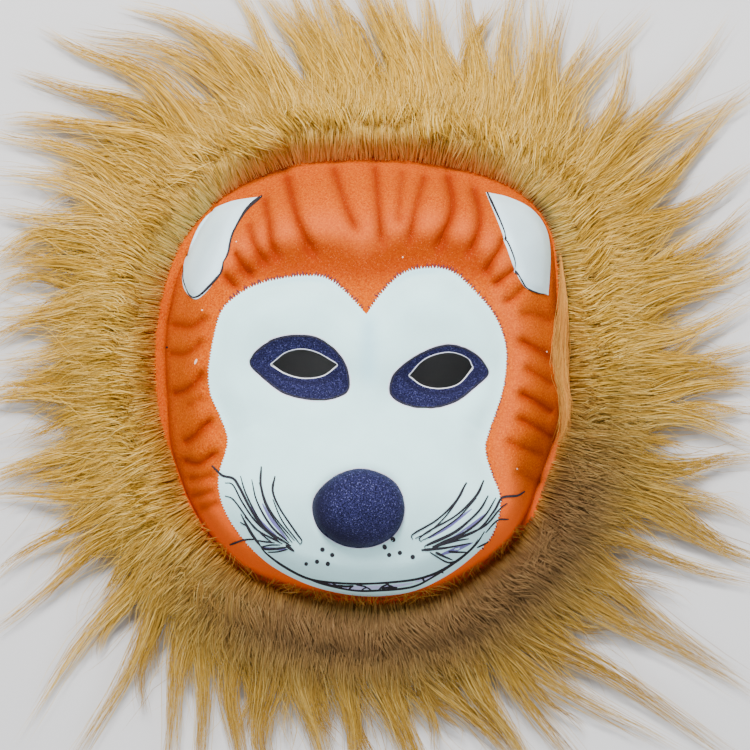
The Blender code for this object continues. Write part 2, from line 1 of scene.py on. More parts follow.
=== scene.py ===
"""The looks of a plush lion mask that lies face up on a table.

Tables are in millimetres, drawn in the same plane as the part's outlines: as things look from a point
high over the mask, x to the right and y towards the forehead. Meshes are made in metres.
"""
import math

import bpy
import numpy as np
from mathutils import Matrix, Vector
from mathutils.geometry import delaunay_2d_cdt
from mathutils.kdtree import KDTree


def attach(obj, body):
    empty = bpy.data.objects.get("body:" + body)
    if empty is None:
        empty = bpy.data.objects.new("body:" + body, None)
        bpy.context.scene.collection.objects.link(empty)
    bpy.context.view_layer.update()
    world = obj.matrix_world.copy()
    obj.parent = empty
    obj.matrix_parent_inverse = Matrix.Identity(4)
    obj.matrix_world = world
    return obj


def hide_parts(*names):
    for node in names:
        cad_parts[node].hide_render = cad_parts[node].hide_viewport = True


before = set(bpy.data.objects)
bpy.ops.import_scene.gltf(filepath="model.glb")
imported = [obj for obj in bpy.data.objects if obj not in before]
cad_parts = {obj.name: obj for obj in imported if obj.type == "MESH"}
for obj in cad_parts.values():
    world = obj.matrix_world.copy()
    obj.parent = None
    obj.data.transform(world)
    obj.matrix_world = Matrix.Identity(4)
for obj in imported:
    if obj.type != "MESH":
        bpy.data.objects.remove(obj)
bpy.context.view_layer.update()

MM = 0.001

# Where the outlines are seen from, and the shift that centres the mask
SIGHT_X = 6.0
SIGHT_Y = 2.5
SIGHT_Z = 1500.0
SHIFT_Y = -2.3

# Walls and seams of the shell
FOAM = 2.8
RIM_Z = 11.0
RIM_HIDDEN = 3.0

# Width of the flat flange that shows: wide at the upper left, narrower at the lower right and the chin, and
# nearly covered by the fur elsewhere
FLANGE_LEFT = 5.6
FLANGE_RIGHT = 3.2
FLANGE_CHIN = 1.5
FLANGE_COVERED = 1.2

# Main heights of the shell over its rim
EDGE_RISE = 34.0
CHIN_DROP = 8.0
PANEL_RISE = 4.0
PUFF_FOREHEAD = 7.0
PUFF_SIDE = 3.0
NOSE_RISE = 10.0
NOSE_GROOVE = 1.2
PATCH_SINK = 1.0
EAR_RISE = 1.4
SHOULDER_CHIN = 15.0
SHOULDER_CHEEK = 12.0
SHOULDER_FOREHEAD = 14.0
CLIMB_POWER = 2.6

# Visible cloth: thickness, how far it stands over the foam, and the steps at colour edges
CLOTH = 0.5
ORANGE_LIFT = 0.3
PANEL_LIFT = 0.6
FLOCK_LIFT = 0.7
EAR_LIFT = 0.5
EDGE_STEP = 0.28
FLOCK_STEP = EDGE_STEP * 1.8
FOAM_UNDER = 0.02
FOAM_UNDER_FOLDS = 1.3
HOLE_EDGE = 0.4

# Fine relief of the cloth
PLEAT_DEPTH = 1.45
CREASE_WIDTH = 1.5
CREASE_SHARE = 0.42
FOLD_DEPTH = 0.9
FOLD_RISE = 0.5
DENT_DEPTH = 0.16

# Mesh spacing
CLOTH_STEP = 1.35
CLOTH_EDGE_STEP = 0.9
TOOTH_STEP = 0.35
FOAM_STEP = 2.2
INK_STEP = 0.7
SLOPE_STEP = 0.3
CURVE_PIECES = 24
DISC_SIDES = 14
GRID_HALF = 110.0
SHARP_ANGLE = 50

# Teeth of the white panel's edge, and the dark ticks between them
TOOTH_PITCH = 1.35
TOOTH_LENGTH = 1.5
TICK_LENGTH = 2.0
TICK_WIDTH = 0.72
TICK_SHARE = 0.36
CLEAN_CHIN_Y = -84.0

# Outlines: x_mm, y_mm. A third value of 1 marks a sharp corner
OUTLINES = {
    "shell": (
        (1, 104), (29.5, 102.5), (59, 96), (79, 84.5), (89, 70), (92, 52.5), (93, 31), (95.5, 2),
        (93, -26.5), (86, -48), (79, -65.5), (66, -80.5), (44, -95.5), (22.5, -103), (-3, -104),
        (-27.5, -100.5), (-52, -92), (-68, -79), (-81, -59), (-89, -38), (-95.5, -16.5), (-97.5, 2.5),
        (-97, 24), (-91.5, 50), (-83, 68), (-70, 83), (-54, 93.5), (-30, 102),
    ),
    "panel": (
        (2, 31, 1), (10, 41.5), (19.5, 50), (31, 52.5), (41.5, 51), (51, 43), (61.5, 31), (67, 17),
        (67, 2.5), (64.5, -9), (60, -22), (57.5, -32), (60, -42.5), (64.5, -56), (61, -71), (53, -81),
        (40, -91), (24, -98.5), (5, -101), (-13, -99), (-30, -93.5), (-46, -84), (-59, -69.5),
        (-65.5, -57), (-67, -45), (-63, -29), (-66, -18), (-71, -6), (-71.5, 8), (-66.5, 31), (-58, 40),
        (-46.5, 45.5), (-30.5, 48.5), (-18, 48), (-9, 42),
    ),
    "patch_left": (
        (-53, 9.5), (-44, 18.5), (-32.5, 21.5), (-20.5, 20), (-10.5, 12.5), (-6, 3.5), (-7, -6),
        (-19, -10), (-36, -7), (-48, 2),
    ),
    "patch_right": (
        (59, 4.5), (52, 13.5), (40, 17), (25.5, 12), (14, 2.5), (13, -7), (21.5, -12.5), (33.5, -13.5),
        (45, -10), (55, -1.5),
    ),
    "ear_left": (
        (-47, 86, 1), (-55, 79.5), (-60, 71), (-63, 61), (-67.5, 49.5), (-72.5, 42), (-78, 38),
        (-83, 42.5), (-84, 50.5), (-80, 66), (-73, 77.5), (-62, 83.5),
    ),
    "ear_right": (
        (58, 88, 1), (69, 85.5), (79.5, 80), (86, 71), (88, 59), (87, 40, 1), (77, 43), (71, 53),
        (65, 70.5),
    ),
    "nose": (
        (20, -59), (15, -47.5), (1, -41.5), (-13, -45), (-23, -56), (-20.5, -69), (-9, -77), (5, -77.5),
        (16, -71),
    ),
}
# Left and right eye hole
HOLE_OUTLINES = (
    (
        (-43, 8, 1), (-36, 13.8), (-28.5, 15.5), (-20.5, 13.6), (-11, 8, 1), (-18, 2.4), (-27, 1),
        (-36, 3.3),
    ),
    (
        (21.5, 3, 1), (29.5, 11), (40.5, 14), (49, 11.5), (52, 6.5, 1), (45.5, -1.5), (36.5, -3.8),
        (28, -2.2),
    ),
)

# Raised and sunk forms: x_mm, y_mm, half_width, half_height, tilt_deg, rise, squareness
FACE_FORMS = (
    (0, -5, 70, 80, 0, 7, 1),
    (-37, 32, 24, 13, 8, 4, 1),
    (36, 34, 24, 13, -8, 4, 1),
    (-28, 3, 22, 12, -8, -8, 1.3),
    (36, -1, 22, 12, 12, -8, 1.3),
    (4, 8, 9, 26, 0, 3, 1),
    (-1, -58, 44, 33, 0, 14, 1.4),
    (-52, -18, 15, 14, 0, -2, 1),
    (50, -20, 15, 14, 0, -2, 1),
)
EAR_DIMPLES = (
    (-72, 62, 7, 10, 25, -1.2, 1),
    (74, 70, 6, 9, 0, -1.4, 1),
)

# Pleats of the orange ring: depth, half width, then x_mm, y_mm from the rim end to the inner end
PLEATS = (
    (2.4, 3.4, (6, 101), (7.5, 84.5), (8.5, 72.5), (9.5, 59.5)),
    (1.6, 3.2, (19, 99), (18, 89), (17.5, 80), (17, 70)),
    (2.2, 3.4, (29.5, 97), (27, 87.5), (25, 80), (23, 70), (21.5, 61)),
    (3, 3.8, (40, 97), (42.5, 84), (41, 75), (38, 68.5), (34.5, 57.5)),
    (2.8, 3.6, (52, 91), (55, 80), (55, 72), (52, 63.5), (48, 56)),
    (2.3, 3, (66.5, 67), (65, 62.5), (61, 56), (56.5, 47.5)),
    (2.1, 2.8, (71.5, 52), (65, 47), (60, 43.5)),
    (1.8, 2.8, (76, 43.5), (70, 38), (64.5, 36.5)),
    (2.4, 3.6, (-13.5, 100.5), (-12, 95), (-9.5, 87.5), (-6.5, 79), (-0.5, 66)),
    (2.8, 3.6, (-35.5, 96.5), (-33.5, 87.5), (-30, 75), (-24.5, 63), (-20.5, 54.5)),
    (2.4, 3.2, (-46, 86), (-43.5, 72.5), (-42.5, 65), (-38.5, 53.5)),
    (2.1, 3, (-53.5, 74), (-50.5, 63.5), (-43.5, 51.5)),
    (2.3, 2.8, (-60, 60.5), (-55.5, 52.5), (-50, 47)),
    (1.9, 2.6, (-65.5, 50), (-61.5, 45.5), (-57.5, 42)),
    (2.3, 3.8, (-89.5, 26), (-80.5, 25), (-76, 27.5), (-71.5, 31.5)),
    (2.1, 3.4, (-90.5, 12.5), (-84, 12), (-78.5, 15), (-73.5, 21)),
    (2.6, 3.4, (-89, -6.5), (-83, -5), (-77, 0), (-73.5, 6.5)),
    (1.3, 3.8, (-82.5, -12.5), (-78, -10), (-73.5, -7.5)),
    (2.9, 3.6, (-84, -30), (-78.5, -26.5), (-74.5, -22), (-68, -17)),
    (2.6, 3.4, (-84, -37.5), (-77, -39.5), (-72, -36.5), (-65.5, -32.5)),
    (1.8, 2.8, (-81.5, -46.5), (-75, -46), (-68, -44)),
    (1.8, 2.8, (-80.5, -54.5), (-74.5, -53.5), (-68, -51.5)),
    (1.5, 2.6, (-76.5, -60.5), (-71.5, -59), (-66, -57)),
    (1.7, 3.8, (89, 28), (79.5, 31), (72, 30.5)),
    (2.8, 4, (90.5, 9), (81, 15), (71, 20.5)),
    (2.1, 3.8, (90, -2.5), (82.5, 2.5), (74, 7)),
    (3, 4, (89.5, -15.5), (81, -10), (71, -4.5)),
    (2.6, 4, (89.5, -26.5), (79.5, -21), (70, -16.5)),
    (1.9, 4.4, (85.5, -34.5), (76, -32), (65, -27.5)),
    (1.4, 4, (84.5, -48), (79, -46), (70, -42)),
)
# Faint creases of the white cheeks, in the same form
CREASES = (
    (0.35, 1.8, (46, -18), (56.3, -23.5), (66, -30)),
    (0.3, 1.6, (50, -26), (57.2, -30.7), (64, -36)),
    (0.25, 1.8, (-48, -20), (-56.2, -23.6), (-64, -28)),
)

# Ink lines: the widths at the start, middle and end, then the points
WHISKERS = (
    (0.8, 0.75, 0.5, (-70.5, -40.5), (-65.5, -45), (-60, -46.5), (-57, -50.5), (-49, -65), (-39, -75)),
    (0.4, 0.5, 0.4, (-64, -48.5), (-60, -49.5), (-55.5, -57.5), (-49, -66.5), (-38, -76)),
    (0.4, 0.5, 0.7, (-56.5, -45.5), (-54, -53.5), (-48, -65), (-43, -71), (-33, -77.5)),
    (0.4, 0.6, 0.65, (-51.5, -47), (-49, -57), (-42.5, -68), (-34, -76)),
    (0.8, 0.55, 0.4, (-47, -41), (-47, -50.5), (-42.5, -61.5), (-31.5, -75)),
    (0.35, 0.4, 0.4, (-48, -48.5), (-44, -60.5), (-32.5, -76)),
    (0.8, 0.5, 0.55, (-40.5, -45.5), (-41.5, -52.5), (-38, -60.5), (-30.5, -71.5), (-28, -75),
     (-29, -77)),
    (0.35, 0.4, 0.4, (-41.5, -56), (-37, -66), (-29, -76.5)),
    (0.4, 0.5, 0.5, (-64, -54.5), (-59.5, -56.5), (-52, -66.5), (-48, -70.5), (-37, -76.5)),
    (0.35, 0.4, 0.4, (-54.5, -64), (-46, -72.5), (-41.5, -76)),
    (0.5, 0.5, 0.4, (-49, -75), (-40.5, -76)),
    (0.4, 1, 0.85, (-56.5, -62.5), (-52, -71), (-47.5, -77.5)),
    (0.7, 0.55, 0.5, (-62, -77.5), (-55, -75), (-49.5, -74.5)),
    (0.3, 0.4, 0.3, (-57, -66.5), (-53.5, -68.5)),
    (0.65, 0.75, 0.55, (-47.5, -77.5), (-44.5, -79), (-34.5, -78)),
    (0.35, 0.4, 0.4, (-44, -80.5), (-39, -80), (-34.5, -79)),
    (0.75, 1, 0.65, (-35.5, -77), (-31.5, -80)),
    (0.4, 0.4, 0.35, (-47, -78), (-42.5, -77), (-38, -77)),
    (0.8, 0.5, 0.6, (48.5, -48.5), (43.5, -57), (34.5, -65.5), (23.5, -72), (23.5, -74.5)),
    (0.35, 0.4, 0.4, (46.5, -53.5), (39, -63.5), (31.5, -70.5), (24.5, -74)),
    (0.8, 0.5, 0.55, (56.5, -47.5), (52.5, -55), (43.5, -63.5), (31, -70.5), (26.5, -74), (27.5, -75.5)),
    (0.35, 0.4, 0.4, (53, -55.5), (44.5, -64.5), (32.5, -72.5), (27.5, -75)),
    (0.6, 0.55, 0.5, (58.5, -54.5), (53.5, -62), (43.5, -70.5), (30, -77), (29.5, -79)),
    (0.35, 0.5, 0.55, (53, -63), (43, -71.5), (30, -77.5)),
    (0.5, 0.65, 0.85, (62.5, -55.5), (56.5, -64), (47, -71.5), (32.5, -78)),
    (0.8, 0.6, 0.5, (76, -52.5), (72.5, -54.5), (65.5, -55.5), (61.5, -61.5), (53.5, -70), (39.5, -76)),
    (0.5, 0.55, 0.65, (68, -58), (64, -61), (58, -67.5), (50, -71.5), (43.5, -74)),
    (0.5, 0.5, 0.4, (68.5, -65.5), (63, -66), (57.5, -71.5)),
    (0.5, 0.55, 0.4, (59, -76), (53.5, -78.5)),
    (0.95, 0.6, 0.4, (27.5, -79.5), (37.5, -78.5), (50.5, -76)),
    (0.4, 0.5, 0.55, (31.5, -80.5), (39.5, -85), (43.5, -84.5)),
    (0.9, 0.65, 0.4, (34, -80.5), (42, -84)),
    (0.75, 0.55, 0.4, (40, -80), (49, -80.5)),
    (0.55, 0.5, 0.4, (32.5, -78.5), (42, -75.5), (49.5, -74)),
)
MOUTH = (
    (0.9, 0.7, 1, (-47.5, -77.5), (-45, -81), (-37, -87), (-26.5, -92.5), (-16, -94.5), (2, -95),
     (22, -93.5), (32.5, -91), (40.5, -87), (47, -82.5), (53, -77), (57, -71)),
    (0.65, 0.8, 0.55, (-29, -91.5), (-18.5, -95.5), (-4, -98.5), (8, -98.5), (23, -97), (32.5, -92.5),
     (44, -85), (51, -78.5), (54, -74.5)),
    (0.4, 0.5, 0.4, (-21.5, -94), (-12, -96.5)),
    (0.55, 0.85, 0.75, (-14, -95), (-11.5, -96.5), (-8.5, -98)),
    (0.65, 0.85, 0.65, (-11.5, -96), (-7.5, -96.5), (-4, -96)),
    (0.65, 0.55, 0.55, (-4, -96), (-6.5, -98)),
    (0.5, 0.5, 0.5, (-0.5, -98.5), (2, -97), (4.5, -98.5)),
    (0.5, 0.55, 0.5, (-3, -95.5), (2, -96.5)),
    (0.55, 0.7, 0.55, (7.5, -98.5), (9.5, -96.5), (12.5, -95)),
    (0.65, 0.95, 0.65, (9, -97.5), (12, -97), (16.5, -97)),
    (0.55, 0.75, 0.65, (11, -95), (16.5, -98)),
    (0.75, 0.75, 0.65, (28, -92.5), (29, -94.5)),
    (0.65, 0.65, 0.55, (35.5, -89), (38, -90.5)),
)
EAR_LINES = (
    (1.1, 0.4, 0.5, (-47, 86.5), (-54.5, 79.5), (-60.5, 69), (-63, 59.5), (-65, 55.5)),
    (0.5, 0.95, 0.5, (-65, 55.5), (-66.5, 50.5), (-74, 41.5), (-78, 39), (-80.5, 40), (-82, 43)),
    (0.35, 0.3, 0.2, (-82, 43), (-83.5, 47.5), (-83.5, 53.5)),
    (0.85, 0.4, 0.4, (58.5, 88), (65, 73.5), (69.5, 61.5), (71.5, 55.5), (71.5, 52.5)),
    (0.4, 0.6, 0.4, (71.5, 52.5), (76.5, 44), (82, 41), (86, 40.5)),
)
# Violet shading between the ink lines, in the same form
VIOLET = (
    (1.4, 1.9, 1.4, (-52, -59.5), (-47, -67), (-38.5, -74.5)),
    (0.9, 1.4, 0.9, (-46.5, -58), (-42.5, -65), (-35, -74.5)),
    (0.9, 1.2, 0.9, (-47, -78.5), (-35, -79)),
    (1.2, 1.9, 1.2, (35, -77), (45, -72.5), (58.5, -62)),
    (0.9, 1.4, 0.9, (31, -74), (39.5, -69), (51, -60.5)),
    (1.2, 1.9, 0.9, (36.5, -81.5), (43.5, -79), (51.5, -76)),
)
# Lavender of the teeth
LAVENDER = (
    (1.4, 1.9, 1.4, (-19, -94.5), (-8, -97), (2, -97), (13, -96.5), (23.5, -95)),
    (0.9, 1.4, 0.9, (24.5, -94.5), (32, -92), (41.5, -86)),
)
FLECK = (0.9, 0.9, 0.7, (-77.5, 10), (-78.5, 7.5))
# How deep printed lines and outlines sink into the cloth
LINE_SINK = 0.25
OUTLINE_SINK = 0.3
# Where along an ink line its widths are, and how much of the drawn width its two ends have
TAPER_PLACES = (0, 0.12, 0.5, 0.85, 1)
TAPER_START = 0.5
TAPER_END = 0.35
# Small marks on the cloth, and dots of the muzzle: x_mm, y_mm, radius
DARK_MARKS = ((-91.5, 15.5, 0.5),)
PALE_MARKS = (
    (19, 58, 0.36), (86.5, 13.5, 0.36), (72.5, -41.5, 0.36), (-75, 33, 0.4), (-59, 65, 0.3),
)
DOTS = (
    (-18.5, -80, 1), (-14, -82.5, 0.95), (-21, -85.5, 0.9), (-16, -86.5, 0.95), (-26, -86.5, 0.8),
    (14.5, -75.5, 1), (10.5, -79, 0.95), (12.5, -82.5, 0.95), (17.5, -81.5, 0.95), (23.5, -83.5, 1),
)
# Outlines in ink, each in three widths, and how far they wander
INK_EDGE = (0.6, 0.7, 0.6)
HALO_EDGE = (0.5, 0.6, 0.5)
HALO_SHIFT = 0.6
HOLE_LINE = (0.32, 0.32, 0.32)
HOLE_LINE_SHIFT = 0.11
EDGE_WOBBLE = 0.05

# Locks of the mane: x and y of the root, the middle and the tip
LOCKS = (
    (-53, 145, -95, 156, -124, 163), (-88, 134, -118, 154, -142, 162), (-92, 122, -126, 138, -153, 142),
    (-99, 115, -128, 123, -159, 119), (-103, 100, -120, 116, -155, 120), (-108, 85, -138, 108, -166, 116),
    (-113, 74, -136, 91, -166, 97), (-121, 68, -145, 78, -168, 76), (-125, 66, -153, 68, -168, 58),
    (-53, 151, -78, 164, -104, 174), (-44, 142, -53, 154, -78, 165), (-37, 133, -43, 156, -60, 178),
    (-19, 138, -26, 158, -44, 182), (-13, 143, -22, 164, -34, 182), (-9, 141, -12, 163, -24, 183),
    (0, 143, -6, 164, -18, 182), (13, 140, 14, 161, -2, 182), (23, 145, 18, 164, 4, 183),
    (29, 145, 23, 166, 15, 183), (41, 137, 32, 160, 27, 183), (55, 133, 53, 158, 50, 183),
    (67, 128, 69, 155, 71, 183), (79, 123, 79, 150, 82, 180), (87, 121, 91, 142, 94, 172),
    (98, 110, 103, 138, 126, 166), (107, 106, 116, 126, 123, 150), (111, 106, 134, 124, 163, 160),
    (117, 95, 146, 113, 176, 134), (129, 78, 150, 101, 177, 127), (132, 66, 150, 80, 178, 94),
    (131, 52, 154, 59, 179, 76), (140, 46, 162, 54, 180, 63), (147, 38, 166, 47, 181, 54),
    (132, 13, 154, 25, 180, 34), (132, 9, 154, 11, 181, 14), (132, -1, 156, 1, 180, 8),
    (136, -9, 158, -5, 180, -1), (132, -19, 154, -19, 180, -26), (132, -37, 157, -41, 180, -38),
    (129, -48, 154, -55, 180, -67), (132, -57, 160, -68, 180, -80), (112, -60, 146, -64, 179, -82),
    (107, -77, 134, -78, 179, -93), (101, -81, 124, -102, 176, -136), (96, -89, 122, -116, 175, -145),
    (81, -122, 115, -140, 168, -171), (63, -126, 92, -142, 138, -171), (60, -128, 79, -149, 100, -183),
    (55, -147, 66, -165, 80, -187), (30, -143, 46, -158, 71, -176), (13, -143, 19, -163, 27, -188),
    (4, -143, 12, -162, 23, -185), (-11, -147, -7, -164, -1, -188), (-31, -143, -26, -163, -18, -188),
    (-46, -147, -47, -167, -46, -189), (-63, -118, -61, -158, -58, -191),
    (-77, -118, -78, -148, -74, -188), (-81, -114, -88, -139, -95, -184),
    (-95, -101, -110, -130, -131, -175), (-101, -79, -121, -113, -153, -156),
    (-107, -74, -133, -84, -167, -111), (-121, -68, -141, -69, -167, -93),
    (-119, -48, -140, -54, -167, -55), (-121, -38, -141, -35, -167, -48),
    (-118, -28, -141, -31, -167, -45), (-114, -5, -141, -7, -168, -10), (-118, 14, -143, 15, -168, 8),
    (-116, 33, -141, 36, -168, 29), (-119, 49, -141, 55, -167, 52),
)
# Locks between those: how many, the nearest and furthest root outside the rim, the shortest and longest, the
# lowest and highest layer, half width, scatter of the direction, tone, and gathering towards the tip
BETWEEN_LOCKS = {
    "fur_long": (120, 10, 28, 44, 68, (0.6, 0.95), 4.5, 0.2, 0.45, 0.6),
    "fur_under": (260, 8, 26, 22, 38, (0.35, 0.85), 8, 0.24, 0.42, 0.4),
    "fur_over": (230, 10, 26, 16, 32, (0.92, 1.05), 8, 0.22, 0.55, -0.05),
}
STRAY_HAIRS = (2600, 4, 30, 30, 78, (0.4, 1.06), 1, 0.4, 0.6, 0.3)
# How many strands a lock has, how many points a strand has, and how wide it is
STRANDS = {
    "fur_locks": (120, 12, 0.31), "fur_long": (50, 11, 0.28), "fur_under": (40, 8, 0.3),
    "fur_over": (60, 7, 0.32), "fur_rim_lock": (420, 10, 0.24), "fur_strays": (1, 9, 0.24),
}
# How far outside the rim a drawn lock can start, and how far its strands pass its drawn tip
FURTHEST_START = 22.0
PAST_TIP = 7.0
# A smooth lock over the right rim
RIM_LOCK = {
    "root": (92.8, 60), "middle": (94.6, 14), "tip": (91.2, -28.5), "half": 3.2, "layer": 1.05,
    "tone": 0.45, "phase": 1.0, "dark": 0.7, "gather": 0.95,
}
# How late it gathers, how thin it starts, and how far over the cloth it stays
RIM_LOCK_LATE = 5.0
RIM_LOCK_THIN = 0.92
RIM_LOCK_OVER_CLOTH = 1.4

# The mane's outer form: mm outside the rim, then mm over the table
FUR_TOP = (
    (-6, 13), (0, 14), (4, 20.5), (12, 30.5), (21, 28), (30, 21), (45, 14), (60, 9.5), (80, 6),
    (100, 4.5), (140, 4),
)
# Section of the strip that the fur grows from, in the same form, and the part of it that faces up
BACKING = (
    (-4, 0), (-4, 7.9), (4, 7.9), (4, 11.8), (1.2, 12.4), (1.4, 12.8), (6, 17.5), (12.5, 24), (21, 21),
    (28, 13.5), (31, 6), (31.3, 0.2),
)
BACKING_TOP = BACKING[4:]
BACKING_SEGMENTS = 180
BACKING_WAVES = 19
PILE_HAIRS = 33000
PILE_FLOOR = 12.0
PILE_BAND = 27.0
MOST_X = 195.0
MOST_Y = 206.0
LEAST_Z = 0.35
# How far round the rim a drawn lock leads its neighbours, as a share of the way
FLOW_REACH = 0.02
# The way from the light into the mane's side with painted shade, and how strong that painted shade is at most
SHADE_WAY = (0.34, -0.94)
SHADE_MOST = 0.92

# Head elastic
ELASTIC_WIDTH = 8.0
ELASTIC_THICK = 1.0
ELASTIC_START = 172.0
ELASTIC_END = 368.0
ELASTIC_STATIONS = 121
ELASTIC_RIBS = 9
ELASTIC_GROOVE = 0.86
ELASTIC_INSET_ENDS = 11.0
ELASTIC_INSET_MIDDLE = 17.0
ELASTIC_ANCHOR_SHARE = 0.12
ELASTIC_SLACK_SHARE = 0.4
ELASTIC_SEAT = 0.96
ELASTIC_LIFT = 14.0
ELASTIC_GAP = 0.3

# Lights: name, place in metres, size, power and colour. All of them face one spot
LIGHTS = (
    ("key", (-0.14, 0.86, 1.22), 0.35, 54, (1, 0.98, 0.96)),
    ("left fill", (-1.1, 0, 0.75), 0.6, 5, (0.96, 0.98, 1)),
    ("right fill", (1.1, 0.1, 0.75), 0.6, 8, (0.96, 0.98, 1)),
    ("low fill", (0.1, -1.1, 0.75), 0.6, 8, (0.92, 0.96, 1)),
)
LIT_SPOT = (0, 0, 0.03)
SKY = (0.92, 0.95, 1, 1)
SKY_STRENGTH = 0.28
FLOOR_HALF = 3.0
FLOOR_Z = -0.0006
LENS = 153.2


def unit(vectors, least=0.0):
    """The directions of vectors, each with a length of one."""
    return vectors / (np.linalg.norm(vectors, axis=-1, keepdims=True) + least)


def left_of(ways):
    """Level ways turned a quarter to the left."""
    return np.stack([-ways[..., 1], ways[..., 0]], axis=-1)


def heading(ways):
    """The angle of level ways from x."""
    return np.arctan2(ways[..., 1], ways[..., 0])


def ease(value, start=0, end=1):
    """0 up to start and 1 from end on, with a smooth change between them."""
    t = np.clip((value - start) / (end - start), 0, 1)
    return t * t * (3 - 2 * t)


def bell(value, width):
    """1 where the value is 0, fading out on both sides of it."""
    return np.exp(-((value / width) ** 2))


def read_rows(rows, offset):
    """The second column of a table, read between its rows."""
    return np.interp(offset, *np.transpose(rows))


def curve_place(t, start, leave, end, arrive):
    """A place on the smooth piece from start to end, which leaves and arrives in the ways given."""
    return (
        (2 * t**3 - 3 * t**2 + 1) * start + (t**3 - 2 * t**2 + t) * leave
        + (3 * t**2 - 2 * t**3) * end + (t**3 - t**2) * arrive
    )


def lengths_along(run):
    """How far along a line each of its points is."""
    return np.concatenate([[0], np.cumsum(np.linalg.norm(np.diff(run, axis=0), axis=1))])


def at_lengths(run, along, places):
    """The points of a line at places along it."""
    return np.stack([np.interp(places, along, column) for column in run.T], axis=-1)


def even_points(run, step):
    """Points about step apart along an open line, with both its ends."""
    along = lengths_along(run)
    pieces = max(2, round(along[-1] / step))
    return at_lengths(run, along, np.linspace(0, along[-1], pieces + 1))


def smooth_loop(rows, step):
    """Points about step apart on a closed curve through the rows, with its marked corners kept."""
    knots = np.array([row[:2] for row in rows], float)
    corners = [i for i, row in enumerate(rows) if len(row) > 2]
    count = len(knots)
    fine = []
    for i in range(count):
        start, end = knots[i], knots[(i + 1) % count]
        straight = end - start
        leave = straight if i in corners else (end - knots[i - 1]) / 2
        arrive = straight if (i + 1) % count in corners else (knots[(i + 2) % count] - start) / 2
        length = np.linalg.norm(straight)
        leave, arrive = (way * min(1.0, length / max(np.linalg.norm(way), 1e-6)) for way in (leave, arrive))
        fine += [curve_place(k / CURVE_PIECES, start, leave, end, arrive) for k in range(CURVE_PIECES)]
    cuts = [i * CURVE_PIECES for i in corners] or [0]
    result = []
    for cut, stop in zip(cuts, cuts[1:] + cuts[:1]):
        run = fine[cut:] + fine[:stop + 1] if stop <= cut else fine[cut:stop + 1]
        result.append(even_points(np.array(run), step)[:-1])
    return np.vstack(result)


def smooth_line(rows, step):
    """Points about step apart on an open curve through the rows."""
    knots = np.array(rows, float)
    ahead = np.gradient(knots, axis=0)
    t = np.linspace(0, 1, 13)[:, None]
    pieces = [curve_place(t, *ends) for ends in zip(knots, ahead, knots[1:], ahead[1:])]
    return even_points(np.vstack(pieces), step)


def distance_to_line(points, line, closed=True):
    """Distance of each point from a line of points, and where along it the nearest place is, 0 to 1."""
    ends = np.roll(line, -1, axis=0) if closed else line[1:]
    best = np.full(len(points), np.inf)
    share = np.zeros(len(points))
    for i, (start, end) in enumerate(zip(line, ends)):
        way = end - start
        t = np.clip((points - start) @ way / max(way @ way, 1e-12), 0, 1)
        gap = np.hypot(*(points - start - t[:, None] * way).T)
        nearer = gap < best
        best = np.where(nearer, gap, best)
        share = np.where(nearer, (i + t) / len(ends), share)
    return best, share


def inside(points, loop):
    """True for each point within a closed loop."""
    result = np.zeros(len(points), bool)
    x, y = points.T
    for start, end in zip(loop, np.roll(loop, -1, axis=0)):
        if start[1] != end[1]:
            reach = start[0] + (y - start[1]) * (end[0] - start[0]) / (end[1] - start[1])
            result ^= ((y < start[1]) != (y < end[1])) & (x < reach)
    return result


def depth_inside(points, loop):
    """Distance from the loop, positive inside it."""
    gap, _ = distance_to_line(points, loop)
    return np.where(inside(points, loop), gap, -gap)


def sum_of_forms(points, forms):
    """Height of rounded forms, each an ellipse that fades out from its middle."""
    total = np.zeros(len(points))
    for x, y, half_width, half_height, tilt, rise, squareness in forms:
        turn = math.radians(tilt)
        dx, dy = points[:, 0] - x, points[:, 1] - y
        along = (dx * math.cos(turn) + dy * math.sin(turn)) / half_width
        across = (dy * math.cos(turn) - dx * math.sin(turn)) / half_height
        total += rise * np.exp(-((along**2 + across**2) ** squareness))
    return total


def pleat_height(points, rows=PLEATS):
    """Depth of the pleats, below zero in each groove: a narrow crease in a wide soft hollow."""
    total = np.zeros(len(points))
    for depth, half, *spots in rows:
        line = smooth_line(spots, 1.5)
        reach = 3.0 * half
        near = np.all((points > line.min(axis=0) - reach) & (points < line.max(axis=0) + reach), axis=1)
        gap, share = distance_to_line(points[near], line, closed=False)
        fade = ease(share, -0.05, 0.05) * ease(share, 1, 0.74)
        profile = CREASE_SHARE * bell(gap, CREASE_WIDTH) + (1 - CREASE_SHARE) * bell(gap, half)
        total[near] -= depth * fade * profile
    return total


LOOPS = {
    name: smooth_loop(rows, 2.0 if name in ("shell", "panel") else 1.5)
    for name, rows in OUTLINES.items()
}
HOLE_LOOPS = [smooth_loop(rows, 1.2) for rows in HOLE_OUTLINES]


def at_left(points):
    """0 at the middle of the mask, 1 along its left rim."""
    return ease(points[:, 0], -62, -84)


def low_down(points):
    """0 above the cheeks, 1 below them."""
    return ease(points[:, 1], -20, -34)


def flange_width(points):
    """How much of the flat flange shows."""
    x, y = points.T
    seen = FLANGE_COVERED + (FLANGE_LEFT - FLANGE_COVERED) * at_left(points) * ease(y, -38, -8)
    seen = seen + (FLANGE_RIGHT - FLANGE_COVERED) * ease(x, 66, 78) * low_down(points)
    return seen + (FLANGE_CHIN - seen) * ease(y, -60, -90)


